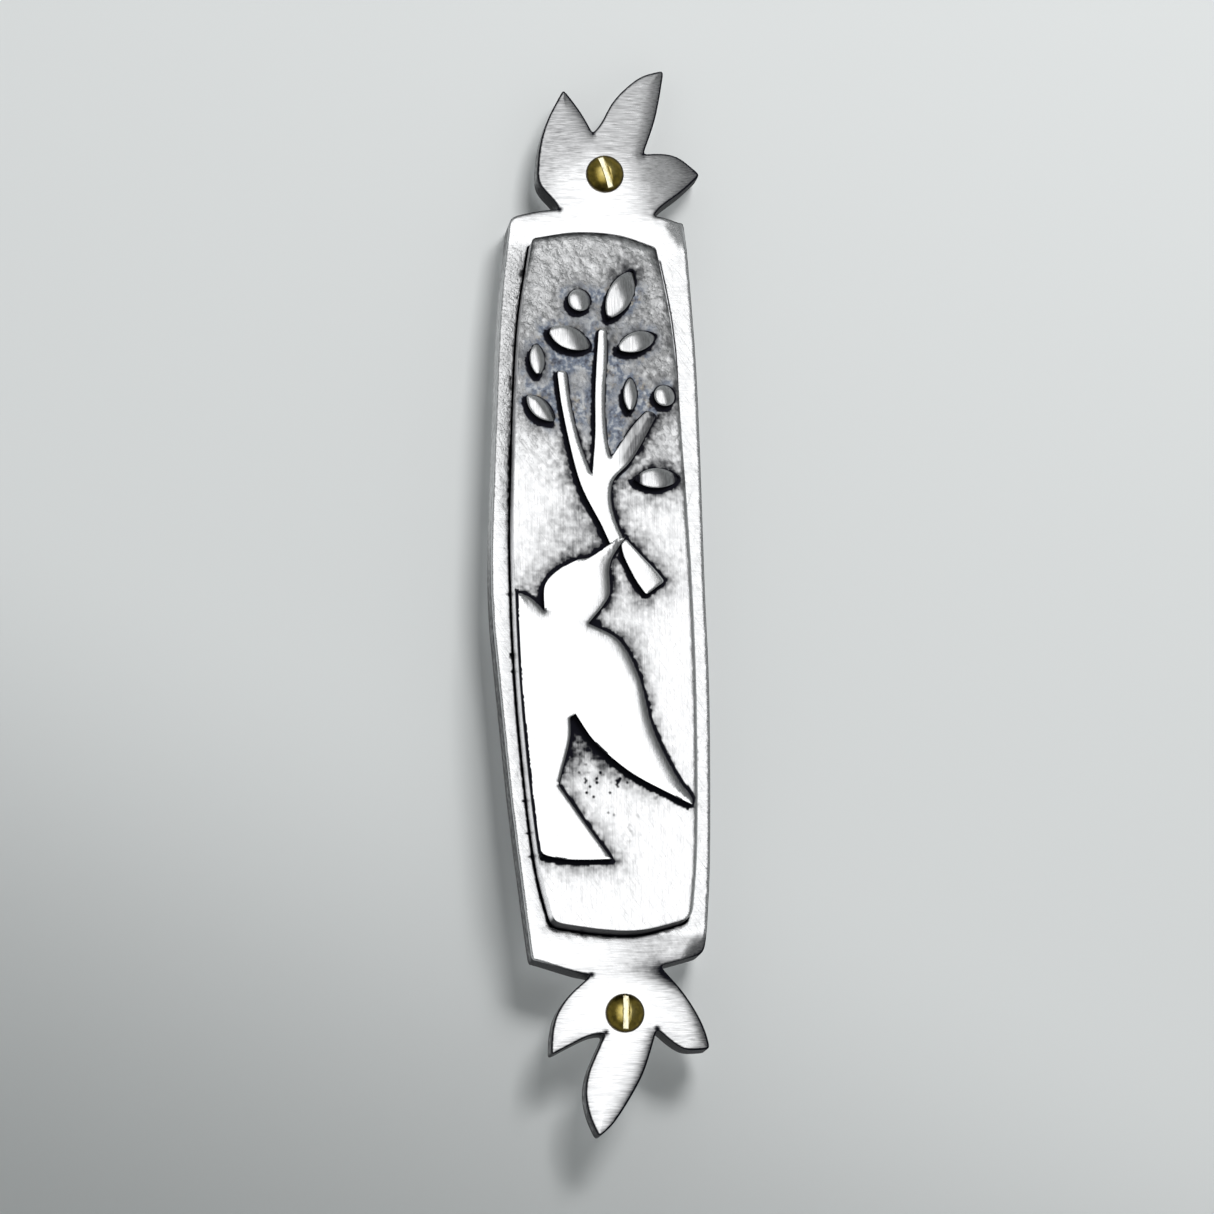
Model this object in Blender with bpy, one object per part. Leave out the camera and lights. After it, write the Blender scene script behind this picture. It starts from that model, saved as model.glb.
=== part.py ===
"""Mezuzah case: a cast frame with leaf finials, a raised relief panel, a back cover, a scroll and two screws.

Frame: metres, +Z up along the case, the front faces -Y and the back plane is y = 0.
X = 0 is the line through the two fixing screws, and Z = 0 is half-way between them.
All dimensions below are in millimetres. Depths are measured forward from the back plane, towards -Y.
"""
import math

import bmesh
import bpy
from mathutils import Vector

MM = 0.001

# Driving dimensions
SCREW_Z = 55.4
GAP = 0.3
FRAME_FACE = 5.4
FRAME_CHAMFER = 0.4
FINIAL_BACK = 0.4
FINIAL_FACE = 4.6
FINIAL_CHAMFER = 0.5
COVER_THICKNESS = 1.2
FLANGE_THICKNESS = 1.0
FLANGE_REACH = 0.6
PANEL_FACE = 9.6
PANEL_WALL = 1.3
PANEL_CHAMFER = 0.3
DOVE_FACE = 10.6
SPRIG_FACE = 10.4
RELIEF_ROOT = 9.0
LIP_WALL = 0.9
LIP_DEPTH = 3.0
SCROLL_X = -1.75
SCROLL_LENGTH = 72.0
SLEEVE_OUTER = 6.4
SLEEVE_WALL = 0.15
SHEET_THICKNESS = 0.25
SCROLL_TURNS = 3
SCREW_BORE = 3.0
HEAD_DIAMETER = 5.0
HEAD_HEIGHT = 1.7
SHANK_DIAMETER = 2.4
SCREW_TIP = 12.0
SLOT_WIDTH = 0.75
SLOT_DEPTH = 0.9
UPPER_SLOT_ANGLE = 17.5
LOWER_SLOT_ANGLE = -1.5
TIP_LENGTH = 3.0
TIP_RADIUS = 0.12
DOME_ANGLES = (0, 25, 50, 72)
OVERRUN = 1.0

# Fineness of the curves
SAMPLES = 3
ROUND_SEGMENTS = 24
BERRY_SEGMENTS = 16
LEAF_SEGMENTS = 6
MITRE_LIMIT = 0.35
SHARP_ANGLE = 35

# Outlines, seen from the front as (x, z), anticlockwise from the top left.
# Each stretch is a smooth curve through its points, and two stretches meet at a corner.
BODY_OUTLINE = [
    [(-12.7, 48.9), (-14.2, 35.8), (-15.5, 14), (-16, 0), (-15.3, -12.4), (-13.7, -30.9), (-11.8, -47.7)],
    [(-11.8, -47.7), (-11.4, -48.5)],
    [(-11.4, -48.5), (-3.5, -50.6), (4.3, -49.4), (10.0, -47.9)],
    [(10.0, -47.9), (10.6, -46.6)],
    [(10.6, -46.6), (11.4, -35.8), (11.9, -14.9), (11.7, 0.0), (11.4, 27.6), (10.4, 48.0)],
    [(10.4, 48.0), (9.9, 48.9)],
    [(9.9, 48.9), (5.9, 49.9), (-6.2, 50.5), (-11.9, 49.5)],
    [(-11.9, 49.5), (-12.7, 48.9)],
]
UPPER_FINIAL = [
    [(-5.6, 48.6), (-6.4, 51.2), (-8.5, 53.8), (-8.8, 56.0), (-8.3, 59.8), (-7.2, 63.2), (-5.1, 67.2)],
    [(-5.1, 67.2), (-3.6, 65.1), (-2.4, 63.1), (-1.4, 61.0)],
    [(-1.4, 61.0), (-0.2, 62.6), (1.2, 65.2), (3.0, 67.3), (5.4, 69.2), (8.4, 70.2)],
    [(8.4, 70.2), (7.7, 66.4), (6.8, 62.7), (5.2, 58.3)],
    [(5.2, 58.3), (8.1, 58.5), (10.2, 58.0), (12.9, 55.9)],
    [(12.9, 55.9), (10.3, 53.4), (7.3, 51.0), (5.4, 48.6)],
    [(5.4, 48.6), (-5.6, 48.6)],
]
LOWER_FINIAL = [
    [(-2.8, -49.0), (-4.3, -50.6), (-6.9, -52.9), (-8.6, -55.3), (-9.3, -57.8), (-9.5, -60.7)],
    [(-9.5, -60.7), (-6.6, -59.2), (-4.4, -58.2), (-2.5, -57.9)],
    [(-2.5, -57.9), (-4.0, -61.0), (-4.9, -63.3), (-5.2, -65.8), (-4.7, -68.5), (-3.6, -71.1)],
    [(-3.6, -71.1), (-1.9, -69.6), (-0.1, -67.1), (1.9, -63.7), (2.9, -61.2), (4.1, -57.4)],
    [(4.1, -57.4), (6.0, -59.1), (7.9, -60.1), (10.9, -60.0)],
    [(10.9, -60.0), (10.4, -57.9), (9.3, -55.4), (7.4, -52.5), (4.8, -49.5), (4.0, -47.9)],
    [(4.0, -47.9), (-2.8, -49.0)],
]
PANEL_OUTLINE = [
    [(-10.3, 45.3), (-12.2, 33), (-13.3, 14.2), (-13.6, 1), (-13.1, -16), (-11.4, -35.2), (-9.4, -44.4)],
    [(-9.4, -44.4), (-3.3, -45.3), (2.0, -45.4), (8.3, -43.8)],
    [(8.3, -43.8), (9.2, -34.0), (9.6, -15.7), (9.4, 0.0), (8.7, 17.0), (7.7, 33.0), (5.9, 44.3)],
    [(5.9, 44.3), (1.0, 45.9), (-4.7, 46.2), (-10.3, 45.3)],
]
DOVE = [
    [(0.8, 5.4), (-1.5, 4.2), (-3.9, 2.6), (-5.8, 2.2), (-8.3, 0.7), (-9.8, -1.2), (-9.9, -4.3)],
    [(-9.9, -4.3), (-11.2, -3.0), (-12.7, -2.2), (-14.6, -2.0)],
    [(-14.6, -2.0), (-14.6, -34.6)],
    [(-14.6, -34.6), (-11.6, -35.2), (-10.4, -36.0), (-7.9, -36.5), (-5.2, -36.6), (-2.0, -36.5)],
    [(-2.0, -36.5), (-5.1, -32.1), (-8.4, -27.2)],
    [(-8.4, -27.2), (-8.4, -26.3), (-7.0, -21.1), (-6.9, -18.2)],
    [(-6.9, -18.2), (-6.2, -17.8)],
    [(-6.2, -17.8), (-3.7, -21.5), (0.8, -25.4), (6.3, -28.4), (8.5, -29.5)],
    [(8.5, -29.5), (8.5, -28.4), (6.7, -25.8), (3.9, -19.8), (2.2, -12.9), (-0.2, -8.3), (-4.3, -6.0)],
    [(-4.3, -6.0), (-2.0, -3.2), (-1.3, -1.4), (-1.2, 2.1), (0.8, 5.4)],
]
BRANCH = [
    [(-7.6, 27.3), (-6.9, 21.6), (-5.0, 12.8), (-2.4, 7.2), (-1.1, 4.2)],
    [(-1.1, 4.2), (0.7, 5.0)],
    [(0.7, 5.0), (-0.2, 7.1), (-0.8, 9.4), (-0.9, 11.3), (-0.4, 13.2), (2.0, 15.8), (5.3, 21.6)],
    [(5.3, 21.6), (4.1, 22.2)],
    [(4.1, 22.2), (2.0, 19.9), (-0.8, 15.8)],
    [(-0.8, 15.8), (-1.3, 19.0), (-1.4, 23.8), (-1.0, 29.0), (-0.9, 33.0)],
    [(-0.9, 33.0), (-2.0, 33.0)],
    [(-2.0, 33.0), (-2.4, 28.5), (-2.7, 23.8), (-2.8, 19.0), (-3.3, 13.6)],
    [(-3.3, 13.6), (-4.8, 18.0), (-5.8, 22.8), (-6.3, 27.3)],
    [(-6.3, 27.3), (-7.6, 27.3)],
]
STUB = [
    [(0.2, 4.4), (0.4, 3.2), (0.9, 1.9), (2.0, -0.3), (3.3, -2.2)],
    [(3.3, -2.2), (5.7, -0.4)],
    [(5.7, -0.4), (4.6, 1.0), (2.6, 3.1), (0.8, 5.1)],
    [(0.8, 5.1), (0.2, 4.4)],
]
# Leaves of the branch: two tips and the half-width between them. Berries: centre and radius.
LEAVES = [
    ((-0.8, 34.3), (2.8, 41.2), 1.6),
    ((-8.7, 32.8), (-2.9, 30.7), 1.5),
    ((0.3, 30.3), (5.6, 32.4), 1.3),
    ((-10.2, 31.1), (-10.0, 26.6), 1.0),
    ((-11.6, 24.0), (-8.0, 20.7), 1.2),
    ((2.0, 26.7), (1.8, 21.9), 0.9),
    ((2.0, 13.0), (8.2, 13.4), 1.3),
]
BERRIES = [((-4.4, 36.9), 1.5), ((6.4, 24.2), 1.4)]


def clear_scene():
    """Remove every object that the file starts with."""
    for obj in list(bpy.data.objects):
        bpy.data.objects.remove(obj, do_unlink=True)


def finish_material(name, colour, roughness, metallic):
    """One Principled material."""
    material = bpy.data.materials.new(name)
    material.use_nodes = True
    shader = material.node_tree.nodes["Principled BSDF"]
    shader.inputs["Base Color"].default_value = (*colour, 1.0)
    shader.inputs["Roughness"].default_value = roughness
    shader.inputs["Metallic"].default_value = metallic
    return material


def smooth_run(points):
    """Points along a Catmull-Rom curve through the given points, without the last one."""
    points = [Vector(p) for p in points]
    if len(points) == 2:
        return points[:1]
    padded = [2 * points[0] - points[1], *points, 2 * points[-1] - points[-2]]
    run = []
    for a, b, c, d in zip(padded, padded[1:], padded[2:], padded[3:]):
        for step in range(SAMPLES):
            t = step / SAMPLES
            bend = (2 * a - 5 * b + 4 * c - d) * t**2 + (3 * b - a - 3 * c + d) * t**3
            run.append(b + 0.5 * ((c - a) * t + bend))
    return run


def outline(stretches):
    """A closed polygon from smooth stretches."""
    return [point for stretch in stretches for point in smooth_run(stretch)]


def circle(centre, radius, segments=ROUND_SEGMENTS):
    """A closed polygon round a centre, anticlockwise."""
    turns = [2 * math.pi * i / segments for i in range(segments)]
    return [Vector((centre[0] + radius * math.cos(a), centre[1] + radius * math.sin(a))) for a in turns]


def leaf(tip_a, tip_b, half_width):
    """A pointed leaf: two circular arcs from tip to tip."""
    start, end = Vector(tip_a), Vector(tip_b)
    middle, half = (start + end) / 2, (end - start) / 2
    side = half.orthogonal().normalized()
    radius = (half.length_squared + half_width**2) / (2 * half_width)
    reach = math.asin(half.length / radius)
    angles = [reach * (2 * i / LEAF_SEGMENTS - 1) for i in range(LEAF_SEGMENTS)]
    along, sink = half.normalized() * radius, half_width - radius
    arc = [along * math.sin(a) + side * (sink + radius * math.cos(a)) for a in angles]
    return [middle + p for p in arc] + [middle - p for p in arc]


def signed_area(polygon):
    """Twice the polygon's area, positive when it runs anticlockwise."""
    return sum(a.x * b.y - b.x * a.y for a, b in zip(polygon, polygon[1:] + polygon[:1]))


def offset(polygon, distance):
    """The polygon moved outward by a distance (inward when negative), with mitred corners."""
    turn = math.copysign(1.0, signed_area(polygon))
    moved = []
    for before, here, after in zip(polygon[-1:] + polygon[:-1], polygon, polygon[1:] + polygon[:1]):
        way_in, way_out = (here - before).normalized(), (after - here).normalized()
        normal_in = Vector((way_in.y, -way_in.x)) * turn
        normal_out = Vector((way_out.y, -way_out.x)) * turn
        mitre = (normal_in + normal_out).normalized()
        moved.append(here + mitre * distance / max(mitre.dot(normal_in), MITRE_LIMIT))
    return moved


def shape(name, mesh, material):
    """An object that holds a finished bmesh, with its faces turned out and its round walls shaded smooth."""
    bmesh.ops.recalc_face_normals(mesh, faces=mesh.faces)
    data = bpy.data.meshes.new(name)
    mesh.to_mesh(data)
    mesh.free()
    data.shade_smooth()
    data.set_sharp_from_angle(angle=math.radians(SHARP_ANGLE))
    if material:
        data.materials.append(material)
    obj = bpy.data.objects.new(name, data)
    bpy.context.scene.collection.objects.link(obj)
    return obj


def add_loft(mesh, layers):
    """Add a closed solid to a bmesh: one polygon per layer, each at its own depth, with flat ends."""
    rings = []
    for polygon, depth in layers:
        rings.append([mesh.verts.new((p.x * MM, -depth * MM, p.y * MM)) for p in polygon])
    for low, high in zip(rings, rings[1:]):
        for i in range(len(low)):
            j = (i + 1) % len(low)
            mesh.faces.new((low[i], low[j], high[j], high[i]))
    mesh.faces.new(rings[0])
    mesh.faces.new(rings[-1])


def loft(name, layers, material=None):
    """One solid through a stack of polygons."""
    mesh = bmesh.new()
    add_loft(mesh, layers)
    return shape(name, mesh, material)


def prisms(name, polygons, back, front):
    """Several separate straight prisms in one object."""
    mesh = bmesh.new()
    for polygon in polygons:
        add_loft(mesh, [(polygon, back), (polygon, front)])
    return shape(name, mesh, None)


def combine(target, tool, operation):
    """Join a hidden tool to a piece, or cut it away."""
    tool.hide_render = True
    tool.display_type = "WIRE"
    modifier = target.modifiers.new(tool.name, "BOOLEAN")
    modifier.operation = operation
    modifier.solver = "EXACT"
    modifier.object = tool


def finial(name, stretches):
    """A leaf finial: a thick slab with a chamfered front edge."""
    polygon = outline(stretches)
    edge = FINIAL_FACE - FINIAL_CHAMFER
    inner = offset(polygon, -FINIAL_CHAMFER)
    return loft(name, [(polygon, FINIAL_BACK), (polygon, edge), (inner, FINIAL_FACE)])


def case_frame(material):
    """The cast frame: a barrel-shaped body with a window and a rebate, and a finial at each end."""
    body = outline(BODY_OUTLINE)
    panel = outline(PANEL_OUTLINE)
    edge = FRAME_FACE - FRAME_CHAMFER
    inner = offset(body, -FRAME_CHAMFER)
    frame = loft("case_frame", [(body, 0), (body, edge), (inner, FRAME_FACE)], material)
    combine(frame, finial("upper_finial_solid", UPPER_FINIAL), "UNION")
    combine(frame, finial("lower_finial_solid", LOWER_FINIAL), "UNION")
    window = offset(panel, GAP)
    combine(frame, prisms("window_cutter", [window], -OVERRUN, FRAME_FACE + OVERRUN), "DIFFERENCE")
    rebate = offset(panel, FLANGE_REACH + GAP)
    ledge = COVER_THICKNESS + FLANGE_THICKNESS + 2 * GAP
    combine(frame, prisms("rebate_cutter", [rebate], -OVERRUN, ledge), "DIFFERENCE")
    bores = [circle((0, z), SCREW_BORE / 2) for z in (SCREW_Z, -SCREW_Z)]
    combine(frame, prisms("bore_cutter", bores, -OVERRUN, FRAME_FACE + OVERRUN), "DIFFERENCE")


def relief_panel(material):
    """The open-backed panel box: face, walls, rear flange and the relief that is cast with it."""
    face = outline(PANEL_OUTLINE)
    flange = offset(face, FLANGE_REACH)
    back = COVER_THICKNESS + GAP
    step = back + FLANGE_THICKNESS
    edge = PANEL_FACE - PANEL_CHAMFER
    inner = offset(face, -PANEL_CHAMFER)
    layers = [(flange, back), (flange, step), (face, step), (face, edge), (inner, PANEL_FACE)]
    panel = loft("relief_panel", layers, material)
    cavity = offset(face, -PANEL_WALL)
    combine(panel, prisms("cavity_cutter", [cavity], back - OVERRUN, PANEL_FACE - PANEL_WALL), "DIFFERENCE")
    sprigs = [leaf(*spec) for spec in LEAVES] + [circle(*spec, BERRY_SEGMENTS) for spec in BERRIES]
    combine(panel, prisms("leaf_solids", [*sprigs, outline(STUB)], RELIEF_ROOT, SPRIG_FACE), "UNION")
    dove = prisms("dove_solid", [outline(DOVE)], RELIEF_ROOT, DOVE_FACE)
    combine(dove, prisms("dove_limit", [inner], RELIEF_ROOT - OVERRUN, DOVE_FACE + OVERRUN), "INTERSECT")
    combine(panel, dove, "UNION")
    combine(panel, prisms("branch_solid", [outline(BRANCH)], RELIEF_ROOT, SPRIG_FACE), "UNION")


def back_cover(material):
    """The moulded cover: a plate flush with the frame's back and a lip that goes into the panel's cavity."""
    panel = outline(PANEL_OUTLINE)
    plate = offset(panel, FLANGE_REACH)
    lip = offset(panel, -PANEL_WALL - GAP)
    well = offset(lip, -LIP_WALL)
    layers = [(plate, 0), (plate, COVER_THICKNESS), (lip, COVER_THICKNESS), (lip, LIP_DEPTH)]
    cover = loft("back_cover", layers, material)
    combine(cover, prisms("lip_cutter", [well], COVER_THICKNESS, LIP_DEPTH + OVERRUN), "DIFFERENCE")


def stand_up(obj):
    """Turn a solid made along Y upright, on the scroll's axis, half-way from the cover to the panel."""
    depth = (COVER_THICKNESS + PANEL_FACE - PANEL_WALL) / 2
    obj.rotation_euler.x = math.pi / 2
    obj.location = (SCROLL_X * MM, -depth * MM, 0)
    return obj


def scroll(material):
    """The rolled sheet: a spiral strip whose layers stay a gap apart."""
    pitch = SHEET_THICKNESS + GAP
    outer = SLEEVE_OUTER / 2 - SLEEVE_WALL - GAP
    steps = SCROLL_TURNS * ROUND_SEGMENTS
    turns = [2 * math.pi * i / ROUND_SEGMENTS for i in range(steps + 1)]
    radii = [outer - pitch * angle / (2 * math.pi) for angle in turns]
    outside = [Vector((math.cos(a), math.sin(a))) * r for a, r in zip(turns, radii)]
    inside = [Vector((math.cos(a), math.sin(a))) * (r - SHEET_THICKNESS) for a, r in zip(turns, radii)]
    strip = outside + inside[::-1]
    reach = SCROLL_LENGTH / 2
    stand_up(loft("scroll", [(strip, -reach), (strip, reach)], material))


def scroll_sleeve(material):
    """The clear wrap: a thin tube, open at both ends."""
    reach = SCROLL_LENGTH / 2 + OVERRUN
    wall = circle((0, 0), SLEEVE_OUTER / 2)
    bore = circle((0, 0), SLEEVE_OUTER / 2 - SLEEVE_WALL)
    sleeve = stand_up(loft("scroll_sleeve", [(wall, -reach), (wall, reach)], material))
    cutter = stand_up(prisms("sleeve_cutter", [bore], -reach - OVERRUN, reach + OVERRUN))
    combine(sleeve, cutter, "DIFFERENCE")


def screw(name, z, slot_angle, material):
    """A slotted round-head screw, made on its own axis and placed in its bore."""
    seat = FINIAL_FACE + GAP
    head, shank = HEAD_DIAMETER / 2, SHANK_DIAMETER / 2
    angles = [math.radians(angle) for angle in DOME_ANGLES]
    dome = [(head * math.cos(a), seat + HEAD_HEIGHT * math.sin(a)) for a in angles]
    profile = [(TIP_RADIUS, -SCREW_TIP), (shank, TIP_LENGTH - SCREW_TIP), (shank, seat), *dome]
    obj = loft(name, [(circle((0, 0), radius), depth) for radius, depth in profile], material)
    obj.location = (0, 0, z * MM)
    half, reach = SLOT_WIDTH / 2, HEAD_DIAMETER
    corners = [Vector(p) for p in [(-half, -reach), (half, -reach), (half, reach), (-half, reach)]]
    floor = seat + HEAD_HEIGHT - SLOT_DEPTH
    slot = prisms(name + "_slot_cutter", [corners], floor, floor + 2 * SLOT_DEPTH)
    slot.location = obj.location
    slot.rotation_euler.y = -math.radians(slot_angle)
    combine(obj, slot, "DIFFERENCE")


def main():
    clear_scene()
    pewter = finish_material("antique_pewter", (0.62, 0.63, 0.65), 0.38, 1.0)
    relief_pewter = finish_material("relief_pewter", (0.66, 0.67, 0.69), 0.34, 1.0)
    plastic = finish_material("grey_plastic", (0.16, 0.16, 0.17), 0.55, 0.0)
    parchment = finish_material("parchment", (0.80, 0.72, 0.56), 0.75, 0.0)
    film = finish_material("clear_film", (0.85, 0.88, 0.90), 0.12, 0.0)
    brass = finish_material("brass", (0.72, 0.55, 0.22), 0.30, 1.0)
    case_frame(pewter)
    relief_panel(relief_pewter)
    back_cover(plastic)
    scroll(parchment)
    scroll_sleeve(film)
    screw("upper_screw", SCREW_Z, UPPER_SLOT_ANGLE, brass)
    screw("lower_screw", -SCREW_Z, LOWER_SLOT_ANGLE, brass)


main()
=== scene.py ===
import math

import bmesh
import bpy
import numpy as np
from mathutils import Matrix, Vector, kdtree
from mathutils.geometry import delaunay_2d_cdt


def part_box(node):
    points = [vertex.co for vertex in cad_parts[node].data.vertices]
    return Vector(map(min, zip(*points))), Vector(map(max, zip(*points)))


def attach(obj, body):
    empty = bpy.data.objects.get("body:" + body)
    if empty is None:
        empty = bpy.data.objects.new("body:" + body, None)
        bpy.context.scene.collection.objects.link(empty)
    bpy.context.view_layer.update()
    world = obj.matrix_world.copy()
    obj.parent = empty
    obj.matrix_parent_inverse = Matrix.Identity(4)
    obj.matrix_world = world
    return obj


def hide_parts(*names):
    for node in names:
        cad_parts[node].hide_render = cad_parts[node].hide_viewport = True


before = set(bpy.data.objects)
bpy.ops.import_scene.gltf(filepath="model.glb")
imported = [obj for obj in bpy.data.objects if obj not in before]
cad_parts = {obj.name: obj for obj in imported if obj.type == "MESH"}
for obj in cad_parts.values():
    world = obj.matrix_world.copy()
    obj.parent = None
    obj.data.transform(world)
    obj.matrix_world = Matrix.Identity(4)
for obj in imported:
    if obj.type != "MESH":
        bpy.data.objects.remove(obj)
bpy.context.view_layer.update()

MM = 0.001

# Depths at which the solids are cut for their outlines, in millimetres in front of the back plane
DOVE_SLICE = 10.5
SPRIG_SLICE = 10.3
PANEL_SLICE = 7.0
FRAME_SLICE = 3.5
BODY_BACK_SLICE = 0.2
PLATE_SLICE = 0.6
LIP_SLICE = 2.5

# Outlines turn by more than CORNER at a corner and by less than STRAIGHT along a straight side
CORNER = math.radians(33)
STRAIGHT = math.radians(0.4)
MITRE_LIMIT = 0.4
SAMPLES_PER_SIDE = 3
CURVE_POINTS = 12
NOISE_CELLS = 64
BATCH = 4_000_000

# Patches smaller than SLIVER, in square millimetres, belong to no region: their seed is put NOWHERE
SLIVER = 0.03
NOWHERE = (1e6, 1e6)


# -------- outlines

def corner_points(node):
    """The corners of a CAD node's mesh, in mm."""
    return np.array([v.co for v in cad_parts[node].data.vertices]) / MM


def centre_of(node):
    """The middle of a CAD node seen from the front: x and z in mm."""
    low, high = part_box(node)
    return np.array([low[0] + high[0], low[2] + high[2]]) / 2 / MM


def half_length(node):
    """Half the height of a CAD node, in mm."""
    low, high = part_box(node)
    return (high[2] - low[2]) / 2 / MM


def slice_loops(node, depth):
    """Closed outlines of a CAD node cut at this depth, as arrays of x and z in mm, largest first."""
    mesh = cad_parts[node].data
    mesh.calc_loop_triangles()
    co = corner_points(node)
    height = -co[:, 1] - depth
    links = {}
    for triangle in mesh.loop_triangles:
        crossing = []
        corners = triangle.vertices
        for a, b in zip(corners, (corners[1], corners[2], corners[0])):
            if (height[a] > 0) != (height[b] > 0):
                t = height[a] / (height[a] - height[b])
                point = co[a] + (co[b] - co[a]) * t
                crossing.append((round(point[0], 3), round(point[2], 3)))
        if len(crossing) == 2 and crossing[0] != crossing[1]:
            links.setdefault(crossing[0], []).append(crossing[1])
            links.setdefault(crossing[1], []).append(crossing[0])
    loops = [anticlockwise(loop) for loop in chains(links) if len(loop) > 2]
    return sorted(loops, key=lambda loop: -area(loop))


def chains(links):
    """Closed chains of points, from a map of each point to those it is linked with."""
    loops = []
    while links:
        start = next(iter(links))
        loop, here = [start], start
        while links.get(here):
            after = links[here].pop()
            links[after].remove(here)
            if not links[here]:
                del links[here]
            here = after
            loop.append(here)
        links.pop(start, None)
        loops.append(np.array(loop[:-1]))
    return loops


def area(loop):
    """Area inside a loop, positive when it runs anticlockwise."""
    after = np.roll(loop, -1, axis=0)
    return float(np.sum(loop[:, 0] * after[:, 1] - after[:, 0] * loop[:, 1]) / 2)


def anticlockwise(loop):
    return loop if area(loop) > 0 else loop[::-1].copy()


def unit(vectors):
    """Each vector at length 1."""
    return vectors / np.maximum(np.linalg.norm(vectors, axis=1), 1e-9)[:, None]


def outward(way):
    """Unit normals to the right of each direction, which is outward along an anticlockwise loop."""
    return unit(np.stack([way[:, 1], -way[:, 0]], axis=1))


def ways(loop):
    """The steps into and out of each point of a loop."""
    return loop - np.roll(loop, 1, axis=0), np.roll(loop, -1, axis=0) - loop


def turning(loop):
    """The angle by which a loop turns at each of its points."""
    way_in, way_out = ways(loop)
    cross = way_in[:, 0] * way_out[:, 1] - way_in[:, 1] * way_out[:, 0]
    return np.arctan2(cross, np.sum(way_in * way_out, axis=1))


def refine(loop, step):
    """An evenly stepped outline through a CAD loop: its sharp corners stay, the rest becomes curves."""
    loop = loop[np.abs(turning(loop)) > STRAIGHT]
    corners = np.nonzero(np.abs(turning(loop)) > CORNER)[0]
    closed = len(corners) == 0
    if closed:
        corners = np.array([0])
    loop = np.roll(loop, -corners[0], axis=0)
    corners = list(corners - corners[0]) + [len(loop)]
    ring = np.vstack([loop, loop[:1]])
    out = []
    for first, last in zip(corners, corners[1:]):
        run = ring[first:last + 1]
        before = loop[-1] if closed else 2 * run[0] - run[1]
        after = loop[1] if closed else 2 * run[-1] - run[-2]
        out.append(resample(curve(np.vstack([before, run, after])), step)[:-1])
    return np.vstack(out)


def curve(points):
    """A dense smooth path through all the points but the first and last, which only steer it."""
    t = np.linspace(0, 1, CURVE_POINTS, endpoint=False)[:, None]
    dense = []
    for a, b, c, d in zip(points, points[1:], points[2:], points[3:]):
        bend = (2 * a - 5 * b + 4 * c - d) * t**2 + (3 * b - a - 3 * c + d) * t**3
        dense.append(b + 0.5 * ((c - a) * t + bend))
    return np.vstack([*dense, points[-2:-1]])


def resample(path, step):
    """Points at equal steps along an open path, ends included."""
    along = np.concatenate([[0], np.cumsum(np.linalg.norm(np.diff(path, axis=0), axis=1))])
    count = max(2, int(round(along[-1] / step)) + 1)
    at = np.linspace(0, along[-1], count)
    return np.stack([np.interp(at, along, path[:, k]) for k in (0, 1)], axis=1)


def soften(loop, passes):
    """A loop with its corners rounded by repeated averaging of neighbouring points."""
    for _ in range(passes):
        loop = (np.roll(loop, 1, axis=0) + 2 * loop + np.roll(loop, -1, axis=0)) / 4
    return loop


def soften_window(loop):
    """The window's and panel's corners: rounder at the bottom than at the top."""
    top = smooth(0, 20, loop[:, 1:])
    return soften(loop, 2) * top + soften(loop, 12) * (1 - top)


def offset(loop, reach):
    """An anticlockwise loop moved outward by a distance, or one for each point, with mitred corners."""
    way_in, way_out = ways(loop)
    mitre = unit(outward(way_in) + outward(way_out))
    stretch = np.maximum(np.sum(mitre * outward(way_in), axis=1), MITRE_LIMIT)
    return loop + mitre * (np.broadcast_to(reach, len(loop)) / stretch)[:, None]


def circle(count):
    """Points round a circle of radius 1."""
    turn = np.linspace(0, 2 * math.pi, count, endpoint=False)
    return np.stack([np.cos(turn), np.sin(turn)], axis=1)


# -------- fields over the front

def smooth(low, high, value):
    """0 below low, 1 above high, and a smooth step between."""
    t = np.clip((value - low) / (high - low), 0, 1)
    return t * t * (3 - 2 * t)


def fade(low, high, value):
    """1 below low, 0 above high, and a smooth step between."""
    return 1 - smooth(low, high, value)


def bell(reach, radius):
    """1 at no distance, fading out smoothly around this radius."""
    return np.exp(-(reach / radius) ** 2)


def inside(points, loop):
    """True for each point inside a loop."""
    found = np.zeros(len(points), bool)
    (start_x, start_z), (run, rise) = loop.T, ways(loop)[1].T
    slope = run / np.where(np.abs(rise) < 1e-12, 1e-12, rise)
    near = np.nonzero(np.all((points > loop.min(0)) & (points < loop.max(0)), axis=1))[0]
    for part in np.array_split(near, len(near) * len(loop) // BATCH + 1):
        x, z = points[part, 0][:, None], points[part, 1][:, None]
        above = start_z > z
        spans = above != np.roll(above, -1, axis=1)
        found[part] = np.sum(spans & (x < start_x + (z - start_z) * slope), axis=1) % 2 == 1
    return found


def framed(points, outer, holes):
    """True for each point inside the outer loop and outside every hole."""
    found = inside(points, outer)
    for hole in holes:
        found &= ~inside(points, hole)
    return found


def nearest(points, targets):
    """For each point, the distance to the nearest target and that target's number."""
    tree = kdtree.KDTree(len(targets))
    for i, (x, z) in enumerate(targets):
        tree.insert((x, z, 0), i)
    tree.balance()
    found = [tree.find((x, z, 0)) for x, z in points]
    return np.array([f[2] for f in found]), [f[1] for f in found]


def outline_field(points, loops):
    """Distance to the nearest of some outlines, and which way that outline faces there."""
    samples, facing = [], []
    for loop in loops:
        way = ways(loop)[1]
        for k in range(SAMPLES_PER_SIDE):
            samples.append(loop + way * k / SAMPLES_PER_SIDE)
            facing.append(outward(way))
    reach, number = nearest(points, np.vstack(samples))
    return reach, np.vstack(facing)[number]


def distance(points, loops):
    """Distance from each point to the nearest of some outlines."""
    return outline_field(points, loops)[0]


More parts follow.
